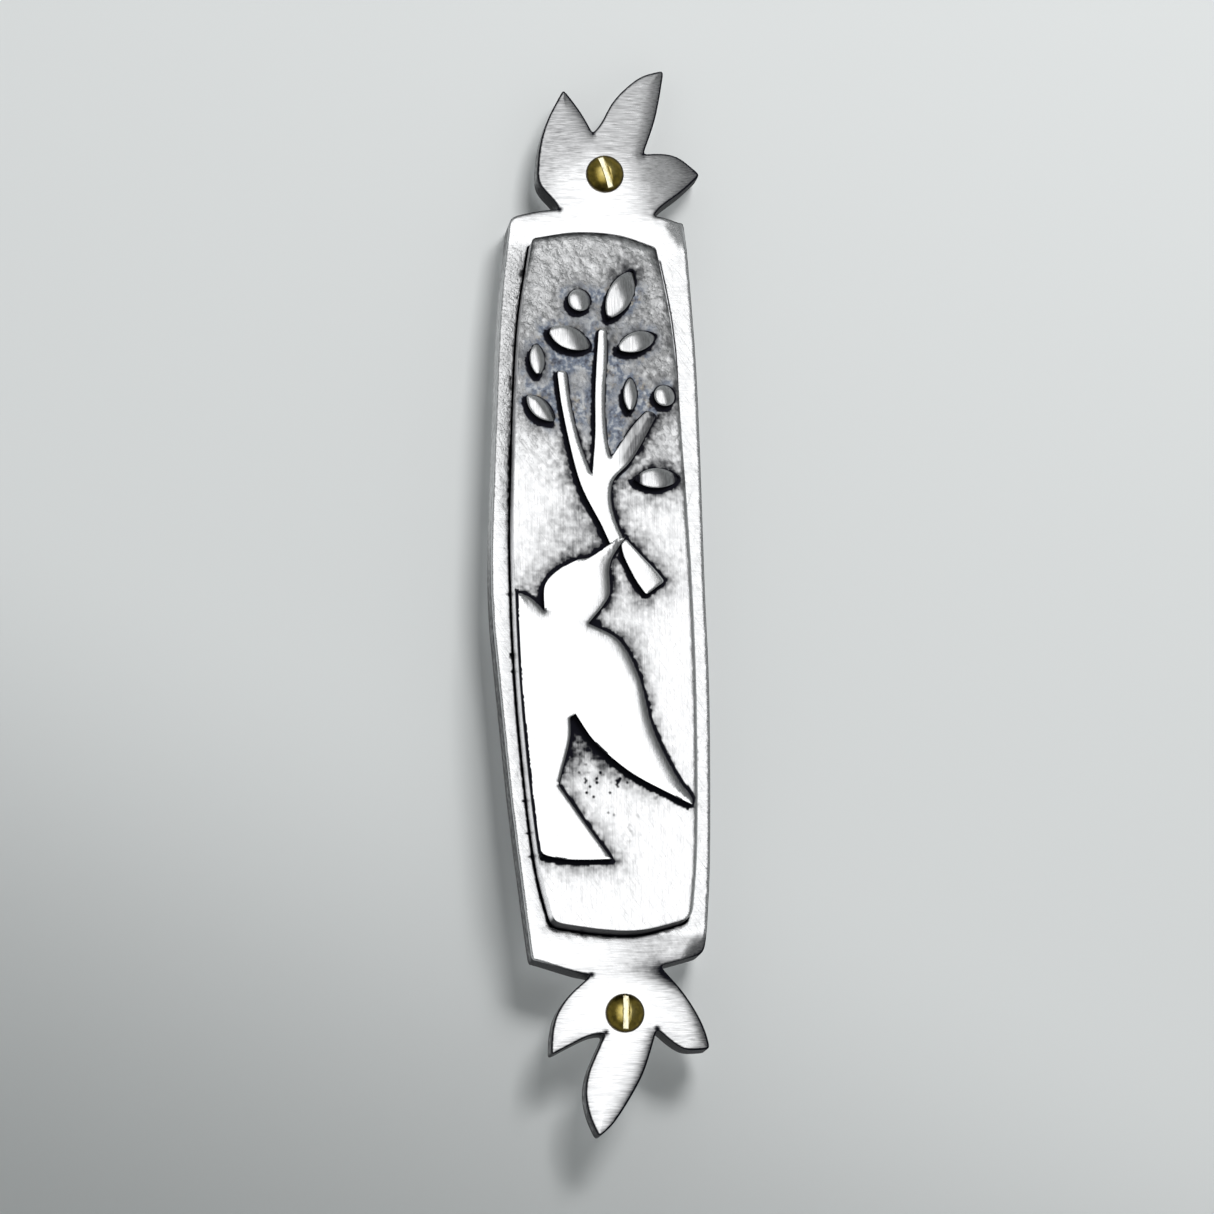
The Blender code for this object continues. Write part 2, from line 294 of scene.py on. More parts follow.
def lattice_noise(points, size, seed):
    """Smooth noise from -1 to 1 over the front, with lumps of about this size in mm."""
    rng = np.random.default_rng(seed)
    table = rng.uniform(-1, 1, (NOISE_CELLS, NOISE_CELLS))
    at = points / size + 100
    cell = np.floor(at).astype(int)
    f = at - cell
    f = f * f * (3 - 2 * f)
    (x0, z0), (x1, z1) = cell.T % NOISE_CELLS, (cell.T + 1) % NOISE_CELLS
    across, up = f.T
    low = table[x0, z0] * (1 - across) + table[x1, z0] * across
    high = table[x0, z1] * (1 - across) + table[x1, z1] * across
    return low * (1 - up) + high * up


def cast_noise(points, seed):
    """The uneven skin of a sand casting: a few sizes of lump together."""
    return sum(lattice_noise(points, size, seed + i) * gain
               for i, (size, gain) in enumerate([(9.0, 0.5), (3.1, 0.3), (1.3, 0.2)]))


def roll(d, radius, drop):
    """How far a rounded edge has dropped: the full drop at the edge itself, none at the radius."""
    t = 1 - np.clip(d / radius, 0, 1)
    return drop * (1 - np.sqrt(np.maximum(1 - t * t, 0))) * 0.5 + drop * t * t * 0.5


# -------- triangles between outlines

def lattice(low, high, step):
    """Points of a triangular grid over a box."""
    rows = []
    for i, z in enumerate(np.arange(low[1], high[1], step * math.sqrt(3) / 2)):
        xs = np.arange(low[0] + (i % 2) * step / 2, high[0], step)
        rows.append(np.stack([xs, np.full(len(xs), z)], axis=1))
    return np.vstack(rows)


def even_points(box, loops, step, clear=0.3):
    """Lattice points over a box that are in the first loop, not in the others, and clear of all."""
    grid = lattice(box.min(0), box.max(0), step)
    return grid[framed(grid, loops[0], loops[1:]) & (distance(grid, loops) > clear)]


def contour_points(loop, distances, everything):
    """Points at set distances outside a loop (inside when negative), without those that crowd another."""
    kept = []
    for reach in distances:
        ring = offset(loop, reach)
        clear = distance(ring, everything) > 0.85 * abs(reach)
        kept.append(ring[clear])
    return np.vstack(kept)


def triangulate(loops, lines, points):
    """Triangles over loops, open lines and loose points, with the loops' rings and the patches' seeds."""
    verts, edges, start = [], [], 0
    for path, closed in [(loop, True) for loop in loops] + [(line, False) for line in lines]:
        n = len(path)
        verts.append(path)
        edges += [(start + i, start + (i + 1) % n) for i in range(n if closed else n - 1)]
        start += n
    verts = np.vstack([*verts, points])
    result = delaunay_2d_cdt([Vector(p) for p in verts], edges, [], 0, 1e-6)
    flat = np.array([tuple(p) for p in result[0]])
    triangles = np.array([tuple(f) for f in result[2]])
    fixed = {tuple(sorted(edge)) for edge, origin in zip(result[1], result[4]) if origin}
    index = {old: new for new, olds in enumerate(result[3]) for old in olds}
    rings, start = [], 0
    for loop in loops:
        rings.append(np.array([index[start + i] for i in range(len(loop))]))
        start += len(loop)
    return flat, triangles, rings, patch_seeds(flat, triangles, fixed)


def patch_seeds(flat, triangles, fixed):
    """For each triangle, the middle of the largest one that it reaches without crossing a fixed edge."""
    neighbours = {}
    for k, (a, b, c) in enumerate(triangles.tolist()):
        for edge in ((a, b), (b, c), (c, a)):
            key = edge if edge[0] < edge[1] else edge[::-1]
            if key not in fixed:
                neighbours.setdefault(key, []).append(k)
    beside = [[] for _ in triangles]
    for pair in neighbours.values():
        if len(pair) == 2:
            beside[pair[0]].append(pair[1])
            beside[pair[1]].append(pair[0])
    corner = flat[triangles]
    one, two = corner[:, 1] - corner[:, 0], corner[:, 2] - corner[:, 0]
    size = np.abs(one[:, 0] * two[:, 1] - one[:, 1] * two[:, 0])
    seeds = np.zeros((len(triangles), 2))
    seen = np.zeros(len(triangles), bool)
    for first in range(len(triangles)):
        if seen[first]:
            continue
        seen[first] = True
        patch = [first]
        for k in patch:
            for other in beside[k]:
                if not seen[other]:
                    seen[other] = True
                    patch.append(other)
        largest = max(patch, key=lambda k: size[k])
        sliver = size[patch].sum() < SLIVER
        seeds[patch] = NOWHERE if sliver else corner[largest].mean(0)
    return seeds


# -------- mesh assembly

WELD = 0.002
SHARP_EDGE = math.radians(40)


def place(name, data):
    """A new object in the scene."""
    obj = bpy.data.objects.new(name, data)
    bpy.context.scene.collection.objects.link(obj)
    return obj


class Build:
    """Collects vertices (x, z, depth in mm), faces and named values for one mesh."""

    def __init__(self):
        # Named values: darkness from the antique finish and from painted shade, the finish's blue-grey, and
        # how rough the casting shows, which on the screw heads is a painted highlight instead
        self.verts, self.faces, self.values = [], [], {"patina": [], "blue": [], "texture": []}
        self.count = 0

    def add(self, points, depth, patina=0.0, blue=0.0, texture=0.0):
        """Add vertices and return their numbers."""
        n = len(points)
        self.verts.append(np.column_stack([points[:, 0], -np.broadcast_to(depth, n), points[:, 1]]))
        for key, value in (("patina", patina), ("blue", blue), ("texture", texture)):
            self.values[key].append(np.broadcast_to(value, n))
        self.count += n
        return np.arange(self.count - n, self.count)

    def add_triangles(self, number, triangles):
        """Add triangles of a net whose points have these vertex numbers."""
        self.faces += [tuple(number[tri]) for tri in triangles]

    def add_part(self, flat, triangles, depth, **values):
        """Add some triangles of a net with the points they use; returns all its points' numbers."""
        used = np.unique(triangles)
        number = np.full(len(flat), -1)
        values = {key: np.broadcast_to(value, len(flat))[used] for key, value in values.items()}
        number[used] = self.add(flat[used], depth[used], **values)
        self.add_triangles(number, triangles)
        return number

    def bridge(self, ring_a, ring_b):
        """Quads between two rings of the same length."""
        n = len(ring_a)
        for i in range(n):
            j = (i + 1) % n
            self.faces.append((ring_a[i], ring_a[j], ring_b[j], ring_b[i]))

    def walls(self, ring, steps):
        """Walls on from a ring, by steps of loop, depth, darkness from patina and painted shade, and
        texture; returns the last ring.
        """
        for loop, depth, patina, texture in steps:
            after = self.add(loop, depth, patina=patina, texture=texture)
            self.bridge(ring, after)
            ring = after
        return ring

    def sheet(self, loops, known, points, depth, **values):
        """A sheet in the first loop, with the others as holes, on known rings; returns all rings."""
        flat, triangles, rings, seeds = triangulate(loops, [], points)
        number = self.add(flat, depth(flat) if callable(depth) else depth, **values)
        for ring, numbers in zip(rings, known):
            number[ring] = numbers
        self.add_triangles(number, triangles[framed(seeds, loops[0], loops[1:])])
        return [number[ring] for ring in rings]

    def finish(self, name, material, body, node, slot):
        """Make the piece, which rides on a body and stands in for one CAD node."""
        bm = bmesh.new()
        for v in np.vstack(self.verts) * MM:
            bm.verts.new(v)
        bm.verts.ensure_lookup_table()
        for face in self.faces:
            corners = list(dict.fromkeys(int(i) for i in face))
            if len(corners) > 2:
                bm.faces.new([bm.verts[i] for i in corners])
        for key, columns in self.values.items():
            layer = bm.verts.layers.float.new(key)
            for vert, value in zip(bm.verts, np.concatenate(columns)):
                vert[layer] = float(value)
        bmesh.ops.remove_doubles(bm, verts=bm.verts, dist=WELD * MM)
        bmesh.ops.recalc_face_normals(bm, faces=bm.faces)
        mesh = bpy.data.meshes.new(name)
        bm.to_mesh(mesh)
        bm.free()
        mesh.shade_smooth()
        mesh.set_sharp_from_angle(angle=SHARP_EDGE)
        mesh.materials.append(material)
        piece = place(name, mesh)
        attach(piece, body)
        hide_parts(node)


# -------- relief panel

PANEL_STEP = 0.3
RELIEF_STEP = 0.22
PEBBLES_FROM = 32.0
PEBBLE_STEP = 0.2
BACK_STEP = 1.2
GROUND = 9.58
DOVE_TOP = 10.6
SPRIG_TOP = 10.4
CAVITY_FLOOR = 8.3
CAVITY_ROUNDING = 30
PANEL_WALL = 1.3
FLANGE_REACH = 0.6
STUB_BELOW = 8.0
LOWEST_LEAF_BELOW = 15.0

# Rolled-off sides, and edges darkened with painted shade, face this way, which is right and slightly up
RIGHTWARD = np.array([0.93, 0.37])


def facing(side, way=RIGHTWARD, bias=0.0):
    """How squarely each direction faces a way, from 0 to 1."""
    return np.clip(side @ way + bias, 0, 1)


def relief_outlines():
    """The outlines of the panel, dove and raised regions (dove with branch first), and the beak's line."""
    face = soften_window(refine(slice_loops("relief_panel", PANEL_SLICE)[0], PANEL_STEP))
    dove = refine(slice_loops("relief_panel", DOVE_SLICE)[0], RELIEF_STEP)
    raised = [refine(loop, RELIEF_STEP) for loop in slice_loops("relief_panel", SPRIG_SLICE)]
    stems = smooth(10, 14, raised[0][:, 1:])
    raised[0] = raised[0] * (1 - stems) + soften(raised[0], 5) * stems
    raised[1:] = [soften(loop, 2) for loop in raised[1:]]
    crossing = distance(dove, raised[:1]) > 0.06
    beak = dove[crossing & inside(dove, raised[0])]
    return face, dove, raised, beak


def panel_points(face, raised):
    """Loose points over the panel: along its outlines, and in a lattice, finer where it is pebbled."""
    outlines = [face, *raised]
    points = [contour_points(face, (-0.12, -0.3, -0.55, -0.85), outlines)]
    for loop in raised:
        points.append(contour_points(loop, (-0.1, -0.24, -0.42, 0.1, 0.24, 0.42), outlines))
    grid = lattice(face.min(0), face.max(0), PANEL_STEP)
    fine = lattice((face[:, 0].min(), PEBBLES_FROM), face.max(0), PEBBLE_STEP)
    grid = np.vstack([grid[grid[:, 1] < PEBBLES_FROM - 0.1], fine])
    points = np.vstack([*points, grid[distance(grid, outlines) > 0.2]])
    return points[inside(points, face)]


class PanelFront:
    """The net of triangles over the panel's front, with the fields that its depths and tones come from."""

    def __init__(self):
        self.face, self.dove, self.raised, beak = relief_outlines()
        points = panel_points(self.face, self.raised)
        self.flat, triangles, rings, seeds = triangulate([self.face, *self.raised], [beak], points)
        self.face_ring = rings[0]
        kept = inside(seeds, self.face)
        self.triangles, seeds = triangles[kept], seeds[kept]
        self.region = np.zeros(len(self.triangles), int)
        for k, loop in enumerate(self.raised):
            self.region[inside(seeds, loop)] = k + 1
        self.x, self.z = self.flat.T
        self.edge, self.edge_side = outline_field(self.flat, [self.face])
        self.relief, self.relief_side = outline_field(self.flat, self.raised)
        self.from_dove = distance(self.flat, [self.dove])
        self.in_dove = inside(self.flat, self.dove) | (self.from_dove < 0.03)
        self.pebbled = smooth(10, 34, self.z)
        self.sag = 0.75 * smooth(24, 62, self.z)


def panel_piece(material):
    """The raised panel: ground, dove, branch, leaves and berries in one sheet on an open-backed box."""
    front = PanelFront()
    ground, (patina, blue) = ground_depth(front), ground_patina_and_shade(front)
    top, tone = raised_tops(front)
    is_ground = front.region == 0
    build = Build()
    low = build.add_part(front.flat, front.triangles[is_ground], ground, patina=patina, blue=blue,
                         texture=0.15 + 0.85 * front.pebbled)
    up = build.add_part(front.flat, front.triangles[~is_ground], top, patina=tone, texture=0.05)
    relief_walls(build, front, (low, ground), (up, top))
    panel_box(build, front.face, low[front.face_ring])
    build.finish("relief_panel_cast", material, "case", "relief_panel", "relief_pewter")


def ground_depth(front):
    """The ground sags and gets pebbly towards the top, and rolls off at the right."""
    upper = smooth(38, 45, front.z)
    pebbles = lattice_noise(front.flat, 0.62, 5) + 0.6 * lattice_noise(front.flat, 1.1, 6)
    ground = GROUND - front.sag + 0.03 * cast_noise(front.flat, 11)
    ground += (0.012 + 0.052 * front.pebbled) * pebbles * smooth(0.1, 0.5, front.relief)
    right = facing(front.edge_side)
    ground -= roll(front.edge, 0.16 + 0.6 * right + 0.8 * upper, 0.05 + 0.16 * right + 0.36 * upper)
    beside_dove = (front.from_dove < 0.5) & (front.edge < 0.5) & (front.x < -9)
    return np.where(beside_dove, DOVE_TOP - 0.04 - roll(front.edge, 0.2, 0.08), ground)


def raised_tops(front):
    """Depth and dark tone of the raised shapes' tops, at each point of the net; much of the tone is painted
    shade on their right sides.
    """
    depth, tone = np.zeros(len(front.flat)), np.zeros(len(front.flat))
    for k, loop in enumerate(front.raised):
        here = np.unique(front.triangles[front.region == k + 1])
        d, side = outline_field(front.flat[here], [loop])
        if k == 0:
            depth[here], tone[here] = dove_and_branch(front, here, d, facing(side))
        else:
            depth[here], tone[here] = leaf_or_berry(front, here, loop, d, facing(side))
    return depth, tone


def dove_and_branch(front, here, d, right):
    """The dove, whose right side rolls off except at its tail, and the branch, darkest on its right stem;
    both get painted shade along their right edges.
    """
    x, z, in_dove = front.x[here], front.z[here], front.in_dove[here]
    tail = fade(1.0, 3.0, x) * fade(-15, -12, z)
    dove = DOVE_TOP - roll(d, 0.2 + 0.3 * right, 0.04 + 0.10 * right)
    dove -= 0.28 * (1 - 0.85 * tail) * right * (1 - np.clip(d / 1.9, 0, 1)) ** 2
    branch = SPRIG_TOP - front.sag[here] - roll(d, 0.25 + 0.45 * right, 0.06 + 0.20 * right)
    # Painted shade along the dove's right edge, narrower at its tail
    rim = 0.85 * right * np.exp(-d / (0.8 - 0.5 * tail))
    right_stem = (0.52 * smooth(-0.8, 1.2, x) + 0.12 * smooth(2.5, 5.5, x)) * smooth(13, 16, z)
    # Painted shade along the branch's right edges, and the darker tone of its right stem
    stem = np.maximum(0.8 * right * fade(0.0, 0.42, d), right_stem * (0.85 + 0.4 * right))
    depth = np.where(in_dove, dove, branch) + 0.012 * cast_noise(front.flat[here], 21)
    return depth, np.where(in_dove, rim, stem)


def leaf_or_berry(front, here, loop, d, right):
    """A dome that leans down to the right, with painted shade there, and dark at its ends; the stub in the
    beak is flatter.
    """
    middle = loop.mean(0)
    across = (front.flat[here] - middle) @ RIGHTWARD
    berry = 0.85 < np.ptp(loop[:, 0]) / np.ptp(loop[:, 1]) < 1.18
    stub = middle[1] < STUB_BELOW
    if stub:
        lean, start, radius, drop = 0.05, 0.0, 0.3, 0.08
    elif berry:
        lean, start, radius, drop = 0.13, 0.7, 1.2, 0.30
    else:
        lean, start, radius, drop = 0.08, 0.8, 0.7, 0.16
    fall = lean * np.maximum(across + start, 0) ** 2 + roll(d, radius, drop)
    depth = SPRIG_TOP + 0.06 - front.sag[here] - fall
    if stub:
        return depth, 0.0
    axis = np.linalg.svd(loop - middle, full_matrices=False)[2][0]
    reach = np.abs((front.flat[here] - middle) @ axis) / np.abs((loop - middle) @ axis).max()
    if middle[1] < LOWEST_LEAF_BELOW:
        ends = 0.8 * smooth(0.45, 0.85, reach)
    else:
        ends = (0 if berry else 1) * smooth(0.84, 0.97, reach)
    # Grey all over, with painted shade growing to the right; the last term below is painted shade along the
    # right edge
    grey_and_right_shade = 0.26 + 0.16 * smooth(-0.6, 0.9, across)
    return depth, np.maximum.reduce([ends, grey_and_right_shade, 0.9 * right * fade(0.02, 0.2, d)])


def relief_walls(build, front, bottom, top):
    """Walls up to the raised shapes, black halfway up. Each level is given as vertex numbers and depths."""
    (low, low_depth), (up, up_depth) = bottom, top
    sides = {}
    for kind, tri in zip(front.region, front.triangles):
        for i, j in ((0, 1), (1, 2), (2, 0)):
            key = (min(tri[i], tri[j]), max(tri[i], tri[j]))
            sides.setdefault(key, []).append(kind)
    walls = [key for key, kinds in sides.items() if len(kinds) == 2 and (kinds[0] == 0) != (kinds[1] == 0)]
    half = {}
    for i in {v for key in walls for v in key}:
        half[i] = build.add(front.flat[[i]], (low_depth[i] + up_depth[i]) / 2, patina=1.0)[0]
    for i, j in walls:
        build.faces.append((low[i], low[j], half[j], half[i]))
        build.faces.append((half[i], half[j], up[j], up[i]))


def panel_box(build, face, ring):
    """The panel's side walls, black in the groove beside the frame, grey on the upper left and with painted
    shade on the bottom wall; its flange and its open cavity.
    """
    flange = offset(face, FLANGE_REACH)
    cavity = soften(offset(face, -PANEL_WALL), CAVITY_ROUNDING)
    lower_wall = 1 - smooth(-6, 12, face[:, 1]) * (face[:, 0] < 0)
    # Painted shade on the bottom wall
    bottom = fade(-44.2, -43.2, face[:, 1])
    crown = np.clip(0.35 - 0.35 * lower_wall + 0.9 * bottom, 0, 1)
    middle = np.clip(0.55 - 0.55 * lower_wall + 0.9 * bottom, 0, 1)
    ring = build.walls(ring, [
        (face, 9.15, crown, 0.1), (face, 8.0, middle, 0.1), (face, 6.1, middle, 0.1),
        (face, 5.8, 1.0, 0.5), (face, 4.8, 1.0, 0.5), (face, 2.5, 0.9, 0.5),
        (flange, 2.5, 0.6, 0.5), (flange, 1.5, 0.3, 0.5),
        (cavity, 1.5, 0.3, 0.5), (cavity, CAVITY_FLOOR, 0.3, 0.5)])
    points = even_points(cavity, [cavity], BACK_STEP)
    build.sheet([cavity], [ring], points, CAVITY_FLOOR, patina=0.3, texture=0.5)


def ground_patina_and_shade(front):
    """The ground's antique finish and painted shade: how dark it is, and how far the metal is hidden under
    blue-grey.
    """
    ragged = 0.5 * lattice_noise(front.flat, 0.8, 31) + 0.5 * lattice_noise(front.flat, 0.35, 32)
    between = blue_ground(front, ragged)
    dark = np.maximum(black_foot_and_shadow(front, ragged), dirt_and_edge_shade(front, ragged, between))
    return np.clip(dark, 0, 1), np.clip(between, 0, 1)


def spot(front, x, z, radius):
    """A soft round spot on the ground."""
    return bell(np.hypot(front.x - x, front.z - z), radius)


def black_foot_and_shadow(front, ragged):
    """Black patina along the foot of the relief and in two crevices, widest below each shape, where it is
    painted shadow, and above it.
    """
    side = front.relief_side
    below = facing(side, np.array([-0.45, -0.89]))
    above = np.maximum(facing(side, np.array([0.3, 0.95])), facing(side, np.array([-0.7, 0.7])))
    sprig = smooth(9, 13, front.z)
    # The band widens on the shapes' lower sides as painted shadow
    width = 0.27 + 0.42 * below + 0.34 * above + 0.14 * ragged
    width += sprig * (-0.15 + 0.34 * below - 0.30 * above)
    foot = fade(0.75 * width, 1.25 * width, front.relief)
    crevices = spot(front, -6.1, -19.4, 0.95) + spot(front, -3.1, -5.9, 0.8)
    return np.maximum(foot, np.clip(1.3 * crevices, 0, 1))


def blue_ground(front, ragged):
    """Blue-grey patches where the sprigs crowd together, left of the right stem."""
    x, z, flat, sprigs = front.x, front.z, front.flat, front.raised[0]
    stems = sprigs[(sprigs[:, 1] > 6) & (distance(sprigs, [front.dove]) > 0.1)]
    crowd = sum(bell(distance(flat, [loop]), 1.4) for loop in front.raised[1:])
    crowd += 1.15 * bell(nearest(flat, stems)[0], 1.9)
    between = smooth(0.30, 0.78, crowd + 0.40 * ragged + 0.24 * lattice_noise(flat, 1.7, 34))
    right_stem = 0.8 + 0.55 * (z - 14)
    between *= smooth(12, 15, z) * fade(38, 40.5, z) * fade(0, 0.7, x - right_stem)
    between *= 1 - fade(17.5, 21, z) * fade(-4.0, -2.6, x + 0.25 * (z - 17))
    return between * (0.4 + 0.6 * smooth(-0.4, 0.15, lattice_noise(flat, 2.4, 35) + 0.3 * ragged))


def dirt_and_edge_shade(front, ragged, between):
    """Grey dirt around the relief, in the tail's fork and over the dove's head, painted shade along the
    panel's upper edges, and less grey towards the lower right.
    """
    x, z = front.x, front.z
    # Painted shade along the panel's edges in its upper part
    corner = fade(0.1, 1.4, front.edge) * smooth(20, 44, z)
    head = bell(np.hypot((x + 5.5) / 1.3, z - 6.0), 4.2)
    grey = 0.42 * np.exp(-front.relief / 0.9) + 0.34 * np.exp(-front.relief / 3.0)
    grey += 0.24 * corner + 0.26 * spot(front, -4.6, -22.0, 4.2) + 0.14 * head
    grey += 0.10 + 0.08 * smooth(-30, -20, z) - 0.05 * smooth(30, 40, z)
    grey += 0.8 * smooth(0.66, 0.8, lattice_noise(front.flat, 0.45, 33)) * spot(front, -2.8, -28, 5.5)
    # Less grey towards the lower right
    lighter_lower_right = 0.5 * smooth(2, 6, x) * fade(-8, 0, z)
    return grey * (0.85 + 0.4 * ragged) * (1 - 0.58 * between) * (1 - lighter_lower_right)


# -------- case frame

FRAME_STEP = 0.4
RAIL_TOP = 5.4
LEAF_TOP = 4.86
WINDOW_GAP = 0.17
REBATE_WIDTH = 0.77
LEDGE = 2.8
FINIAL_BACK = 0.4
SCORE_DEPTH = 0.12
SCORE_SPAN = (8, 44)
SCREW_HEIGHT = centre_of("upper_screw")[1]
LOWER_CORNER = (12.2, -49.3)
UPPER_CORNER = (12.0, 49.0)


def frame_piece(material):
    """The cast frame with its leaf finials, window, rebate and screw bores."""
    loops = slice_loops("case_frame", FRAME_SLICE)
    sharp = refine(loops[0], 0.3)
    outer = soften(sharp, 4)
    window = soften_window(offset(refine(loops[1], PANEL_STEP), -WINDOW_GAP))
    bores = [refine(loop, 0.35) for loop in loops[2:]]
    holes = [window, *bores]
    flat, triangles, rings, seeds = triangulate([outer, *holes], [], frame_points(outer, window, holes))
    edge, side = outline_field(flat, [outer])
    rim = distance(flat, [window])
    score = scored_line(flat, rim)
    depth = frame_depth(flat, edge, side, rim) - SCORE_DEPTH * score
    notches = sharp[(turning(sharp) < math.radians(-60)) & (np.abs(sharp[:, 1]) > 50)]
    dark = frame_patina_and_shade(flat, edge, side, rim, score)
    dark = np.maximum(dark, 0.85 * bell(nearest(flat, notches)[0], 0.5))
    build = Build()
    front = build.add(flat, depth, patina=dark, texture=frame_texture(flat))
    build.add_triangles(front, triangles[framed(seeds, outer, holes)])
    frame_sides(build, outer, window, bores, [front[ring] for ring in rings], depth[rings[0]])
    build.finish("case_frame_cast", material, "case", "case_frame", "antique_pewter")


def frame_points(outer, window, holes):
    """Loose points over the frame: along its outlines and the scored line, and in a lattice."""
    outlines = [outer, *holes]
    points = np.vstack([contour_points(outer, (-0.12, -0.28, -0.5, -0.8, -1.2), outlines),
                        contour_points(window, (0.12, 0.3, 0.55), outlines),
                        even_points(outer, outlines, FRAME_STEP, 0.2)])
    gap = score_gap(window[:, 1])
    points = [points[distance(points, [offset(window, gap)]) > 0.2]]
    for shift in (-0.12, -0.05, 0, 0.05, 0.12):
        row = offset(window, gap + shift)
        on_line = (row[:, 0] > 3) & (row[:, 1] > SCORE_SPAN[0]) & (row[:, 1] < SCORE_SPAN[1])
        points.append(row[on_line & (distance(row, [window]) > 0.06)])
    points = np.vstack(points)
    return points[framed(points, outer, holes)]


def score_gap(z):
    """Distance from the window to the line scored beside it: it widens towards the top."""
    return 0.8 * smooth(2, 42, z) + 0.02


def scored_line(flat, rim):
    """The line scored up the right rail beside the window: 1 along its middle, 0 beside it."""
    x, z = flat.T
    line = np.clip(1 - np.abs(rim - score_gap(z)) / 0.11, 0, 1)
    return line * (x > 3) * smooth(SCORE_SPAN[0], 12, z) * fade(43, SCORE_SPAN[1], z)


def frame_depth(flat, edge, side, rim):
    """Depth of the frame's front: level rails, rounded corners, and leaves that fall to their tips."""
    x, z = flat.T
    away = np.abs(z)
    finial = smooth(47.0, 53.0, away)
    rail = RAIL_TOP - 0.40 * smooth(32, 52, away) - roll(edge, 0.4, 0.16) - roll(rim, 0.15, 0.05)
    rail -= 0.08 * fade(0.0, 2.4, rim) * smooth(2, 14, z) * fade(-8, -5, x)
    for (corner_x, corner_z), reach, drop in ((LOWER_CORNER, 5.0, 1.7), (UPPER_CORNER, 4.5, 1.0)):
        rail -= drop * np.clip(1 - np.hypot(x - corner_x, z - corner_z) / reach, 0, 1) ** 1.5
    rail += 0.02 * cast_noise(flat, 51) + 0.02 * lattice_noise(flat, 0.7, 52)
    from_screw = np.hypot(x, away - SCREW_HEIGHT)
    fall = (np.sqrt(np.maximum(from_screw - 3.0, 0) ** 2 + 1.0) - 1.0) * smooth(50, 56, away)
    leaf = LEAF_TOP - np.where(z > 0, 0.085, 0.04) * fall - roll(edge, 0.3, 0.10)
    rolled = (1 - np.clip(edge / np.where(z > 0, 2.0, 1.4), 0, 1)) ** 2
    leaf -= np.where(z > 0, 0.16, 0.09) * facing(side) * rolled
    leaf -= 0.4 * smooth(4, 13, x) * (z > 0) + 0.05 * smooth(5, 12, x) * (z < 0)
    leaf += 0.015 * cast_noise(flat, 53)
    return rail * (1 - finial) + leaf * finial


def frame_patina_and_shade(flat, edge, side, rim, score):
    """Dark tones of the frame: its window's lip, nicks, the scored line and the shoulder below the window,
    and painted shade on its outer edges, its rounded lower right corner and its finials.
    """
    x, z = flat.T
    leaves = smooth(47, 51, np.abs(z))
    lip = fade(0.0, 0.13, rim + 0.07 * lattice_noise(flat, 0.5, 41))
    nicks = smooth(0.55, 0.8, lattice_noise(flat, 0.6, 42)) * fade(0.2, 1.0, rim) * 0.7
    # Painted shade along the outer edges, darkest where they face right
    line = fade(0.0, 0.16 + 0.08 * leaves, edge)
    line *= np.maximum(0.3 + 0.7 * facing(side, bias=0.3), 0.9 * leaves)
    # Painted shade where the lower right corner rounds over
    low_corner_shade = 0.95 * np.clip(1 - np.hypot(x - 12.4, z + 49.6) / 5.0, 0, 1)
    dark = np.clip(np.maximum.reduce([lip, nicks, 0.9 * score, 0.85 * line]), 0, 1)
    dark += 0.34 * low_shoulder(x, z) + low_corner_shade + leaves * leaf_shade(x, z, edge, side)
    return np.clip(dark, 0, 1)


def leaf_shade(x, z, edge, side):
    """Painted shade on the finials' leaves, darker towards their tips and right edges."""
    upper, lower = z > 0, z < 0
    from_screw = np.hypot(x, np.abs(z) - SCREW_HEIGHT)
    from_base = np.hypot(x + 2.0, np.abs(z) - 50.5)
    tone = np.where(upper, 0.15 + 0.21 * smooth(2.5, 9.0, from_base), 0.06 + 0.10 * smooth(2, 8, from_screw))
    tone += np.where(upper, 0.24, 0.08) * np.exp(-edge / 0.55) * facing(side, bias=0.2)
    tone += 0.46 * lower * (1 - 0.8 * smooth(5, 8, x)) * np.exp(-edge / 1.4) * facing(side)
    tone += 0.22 * lower * np.exp(-edge / 0.8) + 0.05 * upper * smooth(1.5, 4, -x)
    return tone + np.where(lower, 0.24 * smooth(7.5, 10.5, x), 0.20 * smooth(8, 13, x))


def low_shoulder(x, z):
    """1 on the shoulder below the window, from its middle to the right."""
    return fade(-46, -44.6, z) * smooth(-53, -49, z) * smooth(-7, 4, x)


def frame_texture(flat):
    """How rough the casting shows: most on the upper left rail, hardly on the finials."""
    x, z = flat.T
    left_rail = smooth(5, 25, z) * fade(-9, -6, x)
    texture = np.clip(0.20 + 0.55 * left_rail, 0, 1) * (1 - 0.9 * smooth(43, 47, np.abs(z)))
    return np.maximum(texture, 0.12 * low_shoulder(x, z))


